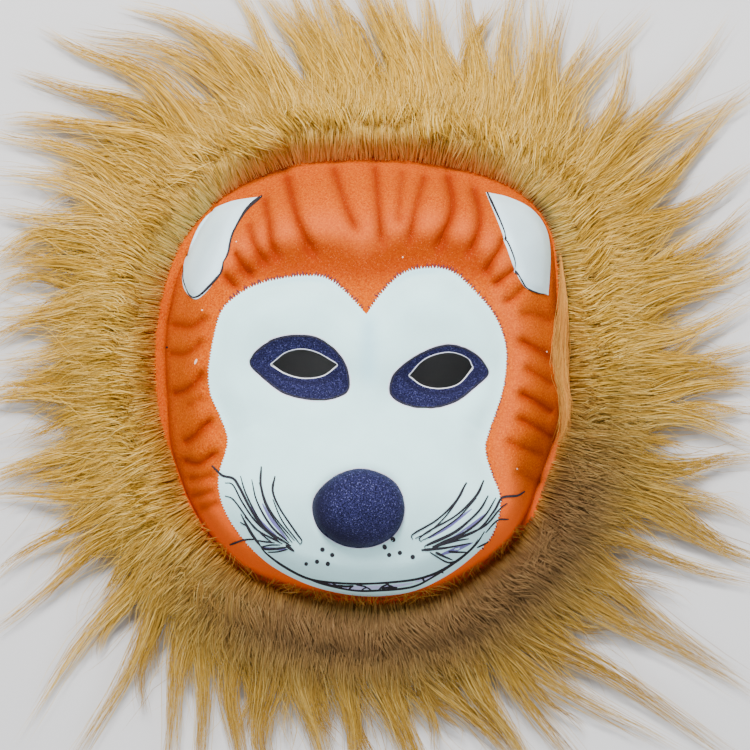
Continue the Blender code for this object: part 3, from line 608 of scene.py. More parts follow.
def depths(points):
    """Depth in each outline, in all flock, in both ears and past the flange, and the way across the ring."""
    inner = {name: depth_inside(points, loop) for name, loop in LOOPS.items()}
    inner["flock"] = np.maximum.reduce([inner[name] for name in ("patch_left", "patch_right", "nose")])
    inner["ears"] = np.maximum(inner["ear_left"], inner["ear_right"])
    inner["rim"] = inner["shell"] - flange_width(points)
    band = np.clip(inner["rim"], 0, None)
    inner["across"] = band / (band + np.clip(-inner["panel"], 0, None) + 1e-6)
    return inner


def face_height(points, inner, pleats=1.0):
    """Height of the shell's outer face over the table at each drawn point."""
    y = points[:, 1]
    low_end = ease(y, -50, -95)
    shoulder = SHOULDER_CHIN + SHOULDER_CHEEK / (1 + np.exp(-(y + 48) / 9))
    shoulder += SHOULDER_FOREHEAD / (1 + np.exp(-(y - 50) / 12))
    climb = np.clip(inner["rim"] / shoulder, 0, 1)
    height = RIM_Z + (EDGE_RISE - CHIN_DROP * low_end) * (1 - (1 - climb) ** CLIMB_POWER)
    puff = PUFF_SIDE * (1 - low_end) + (PUFF_FOREHEAD - PUFF_SIDE) * ease(y, 25, 70)
    height += puff * np.sin(math.pi * np.clip(inner["across"], 0, 1) ** 1.1) ** 2
    height += PANEL_RISE * ease(inner["panel"], 0, 14)
    height += ease(inner["rim"], 0, 18) * sum_of_forms(points, FACE_FORMS)
    for name in ("patch_left", "patch_right"):
        height -= PATCH_SINK * ease(inner[name], 0, 3)
    bulge = np.clip((inner["nose"] - 1.5) / 16, 0, 1)
    height += NOSE_RISE * np.sqrt(1 - (1 - bulge) ** 2) - NOSE_GROOVE * bell(inner["nose"] - 0.5, 1.8)
    on_ears = ease(inner["ears"], 0, 4)
    height += on_ears * (EAR_RISE + sum_of_forms(points, EAR_DIMPLES))
    return height + pleats * pleat_height(points) * ease(inner["panel"], 0, -3) * (1 - on_ears)


def fine_relief(points, inner):
    """Small forms that only the looks have: the fold beside the flange, soft dents and creases."""
    x, y = points.T
    fold = FOLD_RISE * bell(inner["rim"] + 2.6, 1.5) - FOLD_DEPTH * bell(inner["rim"], 0.9)
    dents = np.sin(x / 8.3 + 1.2) * np.sin(y / 9.7 + 0.4) + 0.6 * np.sin(x / 4.1 - y / 6.3)
    dents *= DENT_DEPTH * ease(inner["panel"], 0, 6)
    return at_left(points) * fold + dents + pleat_height(points, CREASES)


def place(points, heights):
    """True places of drawn points at their heights, all in millimetres."""
    share = 1 - heights / SIGHT_Z
    x = SIGHT_X + (points[:, 0] - SIGHT_X) * share
    y = SIGHT_Y + (points[:, 1] - SIGHT_Y) * share
    return np.column_stack([x, y, heights])


def surface(points, pleats=PLEAT_DEPTH, fine=True):
    """Places on the shell's outer face, the outward directions there, and the depths in the outlines."""
    made = []
    for shift in ((SLOPE_STEP, 0), (0, SLOPE_STEP), (0, 0)):
        at = points + shift
        inner = depths(at)
        height = face_height(at, inner, pleats)
        if fine:
            height += fine_relief(at, inner)
        made.append(place(at, height))
    beside, above, spots = made
    return spots, unit(np.cross(beside - spots, above - spots)), inner


def cloth_lift(inner):
    """How far the cloth's top stands over the shell's face."""
    lift = ORANGE_LIFT + PANEL_LIFT * ease(inner["panel"], 0, 8)
    return lift + FLOCK_LIFT * ease(inner["flock"], 0, 4) + EAR_LIFT * ease(inner["ears"], 0, 4)


def outset(loop, distance):
    """The loop moved outwards, which runs clockwise or anticlockwise."""
    following = np.roll(loop, -1, axis=0)
    ahead = unit(following - np.roll(loop, 1, axis=0))
    turning = np.sum(loop[:, 0] * following[:, 1] - following[:, 0] * loop[:, 1])
    return loop - left_of(ahead) * math.copysign(1, turning) * distance


def triangulate(loops, loose, step):
    """Points and triangles over the first loop, with all the loops kept as edges."""
    points = np.vstack(loops)
    edges = []
    for loop in loops:
        start = len(edges)
        count = len(loop)
        edges += [(start + i, start + (i + 1) % count) for i in range(count)]
    row_height = step * math.sqrt(3) / 2
    j, i = np.mgrid[0:int(2 * GRID_HALF / row_height), 0:int(2 * GRID_HALF / step)]
    grid_x = -GRID_HALF + i * step + (j % 2) * step / 2
    grid = np.column_stack([grid_x.ravel(), (-GRID_HALF + j * row_height).ravel()])
    for extra, clear in ((loose, 0.5), (grid, 0.62)):
        extra = extra[inside(extra, loops[0])]
        tree = KDTree(len(points))
        for number, point in enumerate(points):
            tree.insert((*point, 0), number)
        tree.balance()
        far = [tree.find((*point, 0))[2] > clear * step for point in extra]
        points = np.vstack([points, extra[far]])
    result = delaunay_2d_cdt([Vector(point) for point in points], edges, [], 0, 1e-6)
    return np.array([tuple(v) for v in result[0]]), np.array(result[2])


def region(points, triangles, within, without):
    """The triangles whose middles lie in one loop and outside others."""
    middles = points[triangles].mean(axis=1)
    keep = inside(middles, within)
    for loop in without:
        keep &= ~inside(middles, loop)
    return triangles[keep]


def closed_layer(lower, upper, triangles):
    """Points, triangles and wall quads of the closed solid between two layers, and the points used."""
    used, local = np.unique(triangles, return_inverse=True)
    local = local.reshape(-1, 3)
    a, b, c = upper[triangles].transpose(1, 0, 2)
    turned = np.cross(b - a, c - a)[:, 2] < 0
    local[turned] = local[turned][:, ::-1]
    half = len(used)
    sides = np.vstack([local[:, [0, 1]], local[:, [1, 2]], local[:, [2, 0]]])
    alone = ~np.isin(sides @ (1, half), sides @ (half, 1))
    start, end = sides[alone].T
    walls = np.column_stack([end, start, start + half, end + half])
    verts = np.vstack([upper[used], lower[used]])
    return verts, [np.vstack([local, local[:, ::-1] + half]), walls], used


def new_mesh(name, node, verts_mm, face_groups, material, sharp=SHARP_ANGLE):
    """A piece that stands for a node, from points and groups of faces with the same number of sides."""
    mesh = bpy.data.meshes.new(name)
    spots = (verts_mm + (0, SHIFT_Y, 0)) * MM
    corners = np.concatenate([group.ravel() for group in face_groups]).astype(np.int32)
    sizes = np.concatenate([np.full(len(group), group.shape[1]) for group in face_groups])
    mesh.vertices.add(len(spots))
    mesh.vertices.foreach_set("co", spots.ravel().astype(np.float32))
    mesh.loops.add(len(corners))
    mesh.loops.foreach_set("vertex_index", corners)
    mesh.polygons.add(len(sizes))
    mesh.polygons.foreach_set("loop_start", (np.cumsum(sizes) - sizes).astype(np.int32))
    mesh.polygons.foreach_set("use_smooth", np.ones(len(sizes), bool))
    mesh.update(calc_edges=True)
    mesh.validate()
    if sharp:
        mesh.set_sharp_from_angle(angle=math.radians(sharp))
    mesh.materials.append(material)
    obj = bpy.data.objects.new(name, mesh)
    bpy.context.collection.objects.link(obj)
    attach(obj, "root")
    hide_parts(node)
    return obj


def add_values(obj, name, colours):
    """A colour for each point of the mesh, which its material reads."""
    layer = obj.data.attributes.new(name, "FLOAT_COLOR", "POINT")
    layer.data.foreach_set("color", np.asarray(colours, np.float32).ravel())


class Nodes:
    """A material's node tree, with short calls for the nodes that are used often."""

    def __init__(self, name):
        self.material = bpy.data.materials.new(name)
        self.material.use_nodes = True
        self.tree = self.material.node_tree
        self.shader = self.tree.nodes["Principled BSDF"]
        self.where = self.add("ShaderNodeTexCoord").outputs["Object"]

    def add(self, kind, inputs=(), **settings):
        """A new node with its settings, and with its inputs by name or number."""
        node = self.tree.nodes.new(kind)
        for key, value in settings.items():
            setattr(node, key, value)
        for key, value in dict(inputs).items():
            self.put(node.inputs[key], value)
        return node

    def put(self, socket, value):
        """Links an output to an input, or writes a constant on it."""
        if isinstance(value, bpy.types.NodeSocket):
            self.tree.links.new(value, socket)
        elif isinstance(value, tuple):
            socket.default_value = (*value, 1.0)[:len(socket.default_value)]
        else:
            socket.default_value = value

    def set(self, **values):
        """Sets the shader's inputs, named with underscores."""
        for key, value in values.items():
            self.put(self.shader.inputs[key.replace("_", " ")], value)

    def noise(self, size_mm, detail, roughness=0.5):
        scale = 1.0 / (size_mm * MM)
        inputs = {"Vector": self.where, "Scale": scale, "Detail": detail, "Roughness": roughness}
        return self.add("ShaderNodeTexNoise", inputs).outputs["Fac"]

    def cells(self, size_mm):
        inputs = {"Vector": self.where, "Scale": 1.0 / (size_mm * MM)}
        return self.add("ShaderNodeTexVoronoi", inputs).outputs["Distance"]

    def ramp(self, value, *stops):
        """Colours at places from 0 to 1: (place, colour)."""
        node = self.add("ShaderNodeValToRGB", {"Fac": value})
        elements = node.color_ramp.elements
        while len(elements) < len(stops):
            elements.new(0.5)
        for element, (position, colour) in zip(elements, stops):
            element.position = position
            element.color = (*colour, 1.0) if isinstance(colour, tuple) else (colour, colour, colour, 1.0)
        return node.outputs["Color"]

    def mix(self, share, first, second):
        return self.add("ShaderNodeMix", {0: share, 6: first, 7: second}, data_type="RGBA").outputs[2]

    def times(self, first, second):
        return self.add("ShaderNodeMath", {0: first, 1: second}, operation="MULTIPLY").outputs[0]

    def values(self, name):
        """The four numbers of a colour layer."""
        layer = self.add("ShaderNodeAttribute", attribute_name=name)
        parts = self.add("ShaderNodeSeparateColor", {"Color": layer.outputs["Color"]})
        return *parts.outputs[:3], layer.outputs["Alpha"]

    def bump(self, height, depth_mm, strength=1.0):
        inputs = {"Height": height, "Distance": depth_mm * MM, "Strength": strength}
        return self.add("ShaderNodeBump", inputs).outputs["Normal"]


def orange_velour():
    """Short orange pile with fine pale specks, darkened by painted shade in the grooves and folds, pink with
    painted sheen on the puffs.
    """
    nodes = Nodes("orange velour")
    groove, painted_sheen, low, _ = nodes.values("relief")
    grain = nodes.noise(0.9, 3, 0.75)
    blotch = nodes.noise(9, 2)
    base = nodes.ramp(
        grain, (0.33, (0.32, 0.036, 0.0)), (0.5, (0.48, 0.072, 0.0)), (0.66, (0.64, 0.13, 0.002))
    )
    colour = nodes.mix(nodes.ramp(blotch, (0.4, 0.0), (0.7, 0.35)), base, (0.52, 0.095, 0.0))
    specks = nodes.ramp(nodes.cells(1), (0.10, 1.0), (0.24, 0.0))
    for share, most, over in (
        # Painted sheen: pink highlight on the forehead's puff and the right side.
        (painted_sheen, 0.55, (0.66, 0.135, 0.036)),
        (low, 0.7, (0.98, 0.125, 0.008)),
        # Painted shade: dark red in the grooves, the folds and the slope before the panel.
        (groove, 0.9, (0.25, 0.019, 0.0)),
        (specks, 0.45, (0.78, 0.23, 0.06)),
    ):
        colour = nodes.mix(nodes.times(share, most), colour, over)
    nodes.set(Base_Color=colour, Roughness=0.9, Sheen_Weight=0.04, Sheen_Roughness=0.4,
              Sheen_Tint=(1.0, 0.35, 0.1), Specular_IOR_Level=0.02, Normal=nodes.bump(grain, 0.3, 0.8))
    return nodes.material


def scaled(colour, *factors):
    """A colour times one factor, or times one for each of its parts."""
    return tuple(part * factor for part, factor in zip(colour, factors * 3))


def white_velour(name, tint):
    """Short white pile, a little uneven, with painted bluish shade."""
    nodes = Nodes(name)
    shade = nodes.values("relief")[0]
    grain = nodes.noise(0.8, 3, 0.7)
    base = nodes.ramp(nodes.noise(14, 2), (0.35, scaled(tint, 0.95)), (0.65, tint))
    # Painted shade: bluish darkening down the bridge and under the lobes' upper edges.
    shaded_base = nodes.mix(shade, base, scaled(tint, 0.68, 0.76, 0.84))
    colour = nodes.mix(nodes.ramp(grain, (0.3, 0.25), (0.5, 0.0)), shaded_base, scaled(tint, 0.85))
    nodes.set(Base_Color=colour, Roughness=0.85, Specular_IOR_Level=0.15, Normal=nodes.bump(grain, 0.15, 0.6))
    return nodes.material


def blue_flock(name, grain_mm, bright_share):
    """Dark blue flock with lighter violet grains, and painted shade from the relief values."""
    nodes = Nodes(name)
    shade = nodes.values("relief")[0]
    grain = nodes.noise(grain_mm, 4, 0.8)
    base = nodes.ramp(
        grain, (0.38, (0.002, 0.002, 0.01)), (0.5, (0.009, 0.01, 0.04)), (0.6, (0.036, 0.036, 0.13))
    )
    specks = nodes.ramp(nodes.cells(1.2), (0.12, 1.0), (0.26, 0.0))
    bright = nodes.mix(nodes.times(specks, bright_share), base, (0.17, 0.18, 0.42))
    # Painted shade: darker along the flock's edges, under the eye holes and at the nose's lower left.
    colour = nodes.mix(nodes.times(shade, 0.85), bright, (0.006, 0.006, 0.022))
    nodes.set(Base_Color=colour, Roughness=0.8, Sheen_Weight=0.06, Sheen_Roughness=0.4,
              Sheen_Tint=(0.6, 0.6, 1.0), Specular_IOR_Level=0.1, Normal=nodes.bump(grain, 0.3, 0.8))
    return nodes.material


def two_tone(name, low, high, grain, bump=None, **finish):
    """A plain material of two colours, mixed by noise, or by pores if grain is only their size."""
    nodes = Nodes(name)
    texture = nodes.noise(*grain) if len(grain) > 1 else nodes.cells(*grain)
    nodes.set(Base_Color=nodes.ramp(texture, low, high), **finish)
    if bump:
        nodes.set(Normal=nodes.bump(texture, *bump))
    return nodes.material


def plain_ink(name, colour, spread):
    """Printed colour that lets a little of the pile's grain through."""
    light = tuple(min(1.0, part * spread + 0.01) for part in colour)
    return two_tone(name, (0.35, colour), (0.7, light), (0.5, 2, 0.6), Roughness=0.7, Specular_IOR_Level=0.2)


def golden_fur(name, root, body, tip):
    """Long pile: brown at the roots, golden along it, pale at the tips, each strand a little different, with
    painted shade and painted orange bounce near the seam and painted shade on the side away from the light.
    """
    nodes = Nodes(name)
    tone, along, seam, shade = nodes.values("strand")
    length = nodes.ramp(along, (0.0, root), (0.28, body), (0.72, body), (1.0, tip))
    kinds = nodes.ramp(
        tone, (0.0, (0.1, 0.04, 0.004)), (0.3, (0.35, 0.18, 0.014)), (0.62, (0.64, 0.385, 0.04)),
        (1.0, (0.93, 0.71, 0.24)),
    )
    colour = nodes.mix(0.62, length, kinds)
    # Orange-brown from the third value: near the rim painted shade with painted orange bounce from the cloth,
    # on the locks a tint of the roots and of the rim lock.
    colour = nodes.mix(seam, colour, (0.68, 0.29, 0.045))
    # Painted shade: browner on the mane's side away from the light.
    colour = nodes.mix(shade, colour, (0.15, 0.08, 0.038))
    nodes.set(Base_Color=colour, Roughness=0.5, Specular_IOR_Level=0.2, Specular_Tint=(1.0, 0.78, 0.42))
    thin = nodes.add("ShaderNodeBsdfTranslucent", {"Color": colour})
    both = nodes.add("ShaderNodeMixShader", {0: 0.25, 1: nodes.shader.outputs[0], 2: thin.outputs[0]})
    nodes.put(nodes.tree.nodes["Material Output"].inputs["Surface"], both.outputs[0])
    return nodes.material


def toothed_panel(rng):
    """The white panel's edge, in fine uneven teeth except under the chin, and the ticks between them."""
    fine = smooth_loop(OUTLINES["panel"], TOOTH_STEP)
    edge, out = (np.vstack([loop, loop[:1]]) for loop in (fine, outset(fine, 1.0) - fine))
    along = lengths_along(edge)
    teeth = round(along[-1] / TOOTH_PITCH)
    pitch = along[-1] / teeth
    rows = []
    ticks = []
    for k in range(teeth):
        for share, is_tip in ((0.0, 0), (TICK_SHARE, 0), (0.7, 1)):
            s = (k + share + 0.1 * rng.uniform(-1, 1)) * pitch % along[-1]
            spot, way = (at_lengths(run, along, s) for run in (edge, out))
            aside = left_of(way)
            x, y = spot
            show = ease(y, CLEAN_CHIN_Y, CLEAN_CHIN_Y + 8) * ease(np.linalg.norm(spot - fine[0]), 1, 5)
            size = TOOTH_LENGTH * rng.uniform(0.6, 1.15) * show * (0.5 + 0.4 * ease(y, 30, 45))
            rows.append(spot + way * (size * is_tip) + aside * 0.3 * rng.uniform(-1, 1) * is_tip * size)
            on_top = ease(y, 22, 42)
            often = max(0.9 * on_top, 0.5 * (x > 40))
            if share == TICK_SHARE and show > 0.5 and rng.uniform() < often:
                start = spot + way * 0.4
                length = TICK_LENGTH * rng.uniform(0.5, 1.2) * (0.5 + 0.5 * on_top)
                end = start + way * length + aside * rng.uniform(-0.7, 0.7)
                ticks.append((TICK_WIDTH, TICK_WIDTH, TICK_WIDTH * 0.6, start, end))
    return np.array(rows), ticks


def fold_points():
    """Points along the fold beside the flange and along each pleat, so that the triangles follow them."""
    shell = smooth_loop(OUTLINES["shell"], 1.2)
    rows = [outset(shell, -flange_width(shell)[:, None] - inward) for inward in (-1.0, 0.0, 1.0)]
    for _, _, *spots in PLEATS:
        line = smooth_line(spots, 1.2)
        side = left_of(unit(np.gradient(line, axis=0)))
        rows += [line, line + side, line - side]
    return np.vstack(rows)


def make_cloth(materials, rng):
    """The visible cloth of the face: the orange field, the white panel, the flock areas and the ears."""
    rim = outset(LOOPS["shell"], RIM_HIDDEN)
    panel, ticks = toothed_panel(rng)
    names = ("patch_left", "patch_right", "ear_left", "ear_right", "nose")
    patch_left, patch_right, ear_left, ear_right, nose = (
        smooth_loop(OUTLINES[name], CLOTH_EDGE_STEP) for name in names
    )
    holes = [outset(smooth_loop(rows, CLOTH_EDGE_STEP), HOLE_EDGE) for rows in HOLE_OUTLINES]
    loops = [rim, panel, patch_left, patch_right, *holes, ear_left, ear_right, nose]
    points, triangles = triangulate(loops, fold_points(), CLOTH_STEP)
    spots, normals, inner = surface(points)
    lift = cloth_lift(inner)[:, None]
    relief = relief_values(points, inner)
    pieces = (
        ("orange_velour", "shell", "orange", rim, (panel, ear_left, ear_right), 0),
        ("white_face", "face_panel", "white", panel, (patch_left, patch_right, nose), EDGE_STEP),
        ("flock_eye_left", "eye_patch_left", "flock_left", patch_left, holes[:1], FLOCK_STEP),
        ("flock_eye_right", "eye_patch_right", "flock_right", patch_right, holes[1:], FLOCK_STEP),
        ("flock_nose", "nose_cap", "flock_nose", nose, (), FLOCK_STEP),
        ("white_ear_left", "ear_left", "white_ear_left", ear_left, (), EDGE_STEP),
        ("white_ear_right", "ear_right", "white_ear_right", ear_right, (), EDGE_STEP),
    )
    for name, node, material, within, without, step in pieces:
        chosen = region(points, triangles, within, without)
        upper = spots + normals * (lift + step)
        verts, faces, used = closed_layer(spots + normals * (lift - CLOTH), upper, chosen)
        obj = new_mesh(name, node, verts, faces, materials[material])
        add_values(obj, "relief", np.vstack([relief[used], relief[used]]))
        declare_sheet(upper, chosen)
    make_lines("edge_ticks", ticks, materials["tick"], "face_panel", 0.06)


def declare_sheet(upper, triangles):
    """Reads the corners of the cloth's top triangles; nothing is made or kept from them."""
    a, b, c = upper[triangles].transpose(1, 0, 2)


def panel_shade(points, depth):
    """Soft bluish shade on the white panel: down the bridge, and under its upper left edges."""
    x, y = points.T
    bridge = 0.9 * bell(x - 3, 4.5) * ease(y, 34, 24) * ease(y, -8, 6)
    lobe = np.where(x < 2, ease(x, -12, -20), ease(x, 44, 30))
    brow = 0.85 * bell(depth - 1.6, 1.5) * ease(y, 38, 52) * lobe
    return np.maximum(bridge, brow)


def flock_shade(points, inner):
    """Dark shade on the flock: along its edges, under the eye holes and at the nose's lower left."""
    x, y = points.T
    edge = bell(inner["flock"], 2.2)
    low_left = ease(x + 0.6 * y, -32, -56)
    from_hole = -np.maximum(*(depth_inside(points, loop) for loop in HOLE_LOOPS))
    on_patch = np.maximum(0.7 * edge, 0.8 * bell(from_hole - 3, 1.4) * ease(y, 9, 5))
    on_nose = low_left * ease(inner["flock"], 13, 3) + 0.55 * edge
    return np.clip(np.where(inner["nose"] > 0, on_nose, on_patch), 0, 1)


def relief_values(points, inner):
    """For the cloth's materials: painted shade (in the grooves and folds, or on the white and the blue),
    painted sheen, nearness to the chin.
    """
    x, y = points.T
    in_rim, in_panel, across = inner["rim"], inner["panel"], inner["across"]
    pleats = np.clip(-pleat_height(points) / 2.2, 0, 1.2)
    strip = at_left(points) * ease(y, 58, 33)
    forehead = ease(y, 40, 54) * (in_panel < 0)
    right = ease(x, 56, 64) * (y < 45)
    on_flange = ease(in_rim, 0.5, -1)
    # Painted shade on the orange: in the pleats, along the left strip's fold and flange, and on the slope
    # before the panel.
    groove = np.maximum(0.9 * pleats, 0.8 * bell(in_rim, 1.1) * strip)
    groove = np.clip(groove + 0.7 * forehead * ease(across, 0.58, 0.78), 0, 1)
    groove = np.maximum(groove, 0.34 * on_flange * strip)
    # Painted sheen: a pink highlight along the forehead's puff, beside the panel on the right and on the
    # lower right flange.
    painted_sheen = 0.62 * bell(across - 0.55, 0.13) * forehead
    painted_sheen = np.maximum(painted_sheen, 0.5 * bell(np.clip(-in_panel, 0, None) - 6, 6) * right)
    painted_sheen = np.maximum(painted_sheen, 0.8 * on_flange * right * low_down(points))
    painted_sheen *= 1 - np.clip(pleats, 0, 1)
    groove = np.where(in_panel > 0, panel_shade(points, in_panel), groove)
    groove = np.where(inner["ears"] > 0, 0, groove)
    groove = np.where(inner["flock"] > 0, flock_shade(points, inner), groove)
    return np.column_stack([groove, painted_sheen, ease(y, -38, -72), np.ones(len(points))])


def make_foam(material):
    """The moulded foam under the cloth, open underneath, with the eye holes through it."""
    rim = outset(smooth_loop(OUTLINES["shell"], 2.5), RIM_HIDDEN - 0.05)
    points, triangles = triangulate([rim, *HOLE_LOOPS], fold_points(), FOAM_STEP)
    spots, normals, inner = surface(points)
    folded = np.maximum(np.clip(-pleat_height(points) / 0.6, 0, 1), ease(np.abs(inner["rim"]), 7, 4))
    sink = FOAM_UNDER + FOAM_UNDER_FOLDS * folded
    upper = spots + normals * (cloth_lift(inner) - CLOTH - sink)[:, None]
    form, form_normals, _ = surface(points, fine=False)
    lower = form - form_normals * FOAM
    verts, faces, _ = closed_layer(lower, upper, region(points, triangles, rim, HOLE_LOOPS))
    obj = new_mesh("foam", "shell", verts, faces, material)


def ring_quads(rings, closed=False):
    """Quads between neighbouring rings of point numbers. Closed joins the last ring to the first."""
    following = np.roll(rings, -1, axis=0)
    sides = [rings, np.roll(rings, -1, axis=1), np.roll(following, -1, axis=1), following]
    quads = np.stack(sides, axis=-1)
    return (quads if closed else quads[:-1]).reshape(-1, 4)


def on_cloth(points, raise_mm, sink_mm):
    """Places just over and just under the cloth's top at drawn points."""
    spots, normals, inner = surface(points)
    step = EDGE_STEP * np.maximum(ease(inner["panel"], -0.5, 0), ease(inner["ears"], -0.36, 0.04))
    step += (FLOCK_STEP - EDGE_STEP) * ease(inner["flock"], -0.36, 0.04)
    top = (cloth_lift(inner) + step)[:, None]
    return spots + normals * (top + raise_mm), spots + normals * (top - sink_mm)


def make_lines(name, rows, material, node, raise_mm, sink_mm=LINE_SINK, discs=()):
    """Printed lines, each a thin band on the cloth whose width tapers, and round dots."""
    bands = []
    for row in rows:
        line = smooth_line(row[3:], INK_STEP)
        taper = (row[0] * TAPER_START, *row[:3], row[2] * TAPER_END)
        widths = np.interp(np.linspace(0, 1, len(line)), TAPER_PLACES, taper)
        side = left_of(unit(np.gradient(line, axis=0))) * (widths / 2)[:, None]
        bands.append(np.stack([line + side, line - side], axis=1).reshape(-1, 2))
    turn = np.linspace(0, 2 * math.pi, DISC_SIDES + 1)[:-1]
    rounds = [np.column_stack([x + r * np.cos(turn), y + r * np.sin(turn)]) for x, y, r in discs]
    high, low = on_cloth(np.vstack(bands + rounds), raise_mm, sink_mm)
    under = len(high)
    at = 0
    quads = []
    caps = []
    for band in bands:
        left = np.arange(at, at + len(band), 2)
        rings = np.column_stack([left, left + under, left + under + 1, left + 1])
        quads += [ring_quads(rings), rings[:1, ::-1], rings[-1:]]
        at += len(band)
    for ring in rounds:
        top = np.arange(at, at + len(ring))
        quads.append(ring_quads(np.array([top + under, top])))
        caps += [top, top[::-1] + under]
        at += len(ring)
    faces = [np.vstack(quads)] + ([np.array(caps)] if caps else [])
    new_mesh(name, node, np.vstack([high, low]), faces, material)


def loop_rows(rows, widths, shift, rng=None):
    """A closed outline as ink rows: the loop moved outwards by shift, cut into overlapping runs."""
    loop = outset(smooth_loop(rows, 2.0), shift)
    if rng:
        loop = loop + rng.normal(0, EDGE_WOBBLE, loop.shape)
    third = len(loop) // 3
    return [(*widths, *np.roll(loop, -start, axis=0)[:third + 4]) for start in (0, third, 2 * third)]


class Ring:
    """The visible rim as a closed line that the mane follows."""

    def __init__(self):
        self.base = smooth_loop(OUTLINES["shell"], 1.0)
        self.out = left_of(unit(np.roll(self.base, -5, axis=0) - np.roll(self.base, 5, axis=0)))
        angle = np.mod(np.unwrap(heading(self.base)), 2 * math.pi)
        order = np.argsort(angle)
        self.known = angle[order]
        self.shares = np.unwrap(order / len(self.base), period=1.0)
        self.reaches = np.linalg.norm(self.base, axis=1)[order]

    def at(self, share):
        """Place on the rim and outward direction, for shares of the way round from 0 to 1."""
        number = np.mod(share, 1.0) * len(self.base)
        low = np.floor(number).astype(int) % len(self.base)
        high = (low + 1) % len(self.base)
        t = (number - np.floor(number))[:, None]
        base, out = (rows[low] * (1 - t) + rows[high] * t for rows in (self.base, self.out))
        return base, unit(out)

    def towards(self, points, values):
        """What the rim's values are in the direction of each point."""
        return np.interp(np.mod(heading(points), 2 * math.pi), self.known, values, period=2 * math.pi)

    def share_of(self, points):
        """Share of the way round of the rim's nearest place."""
        return np.mod(self.towards(points, self.shares), 1.0)

    def offset(self, points):
        """Distance outside the rim, roughly, of drawn points."""
        return np.linalg.norm(points, axis=-1) - self.towards(points, self.reaches)


def strand_mesh(name, centres, t, width, colours, material, rng, most_roll=0.85):
    """Flat strands with fine ends in one mesh. centres is strands by stations by 3, in drawn millimetres."""
    strands = len(centres)
    rolls = rng.uniform(-most_roll, most_roll, (strands, 1, 1))
    share = t / np.maximum(t[:, -1:], 1e-6)
    widths = width * (1 - 0.62 * share**2.4)
    flat = centres.reshape(-1, 3)
    true = keep_in_box(place(flat[:, :2], flat[:, 2]).reshape(centres.shape))
    ahead = unit(np.gradient(true, axis=1), 1e-9)
    side = unit(np.cross(ahead, (0.0, 0.0, 1.0)), 1e-9)
    half = (side * np.cos(rolls) + np.cross(side, ahead) * np.sin(rolls)) * (widths / 2)[..., None]
    pairs = np.stack([true - half, true + half], axis=2)[:, :-1].reshape(strands, -1, 3)
    verts = np.concatenate([pairs, true[:, -1:]], axis=1)
    per = verts.shape[1]
    left = np.arange(0, per - 3, 2)
    shift = np.arange(strands)[:, None, None] * per
    shapes = (np.column_stack([left, left + 1, left + 3, left + 2]), np.array([[per - 3, per - 2, per - 1]]))
    faces = [(shape + shift).reshape(-1, shape.shape[1]) for shape in shapes]
    obj = new_mesh(name, "mane", verts.reshape(-1, 3), faces, material, sharp=None)
    doubled = np.repeat(colours[:, :-1], 2, axis=1)
    add_values(obj, "strand", np.concatenate([doubled, colours[:, -1:]], axis=1))


def keep_in_box(true):
    """Strands made shorter about their roots so that no tip passes the mask's box."""
    root = true[:, :1]
    scale = np.ones(len(true))
    for axis, most, middle in ((0, MOST_X, 0.0), (1, MOST_Y, -SHIFT_Y)):
        span = np.abs(true[:, :, axis] - middle).max(axis=1)
        start = np.abs(root[:, 0, axis] - middle)
        room = (most - start) / np.maximum(span - start, 1e-6)
        scale = np.minimum(scale, np.where(span > most, np.clip(room, 0.1, 1), 1.0))
    kept = root + (true - root) * scale[:, None, None]
    kept[..., 2] = np.maximum(kept[..., 2], LEAST_Z)
    return kept


def bent_lines(root, middle, tip, t):
    """Curves through root, middle and tip, at shares t: curves by stations by 2."""
    control = 2 * middle - (root + tip) / 2
    t = t[..., None]
    return (1 - t) ** 2 * root[:, None] + 2 * t * (1 - t) * control[:, None] + t**2 * tip[:, None]


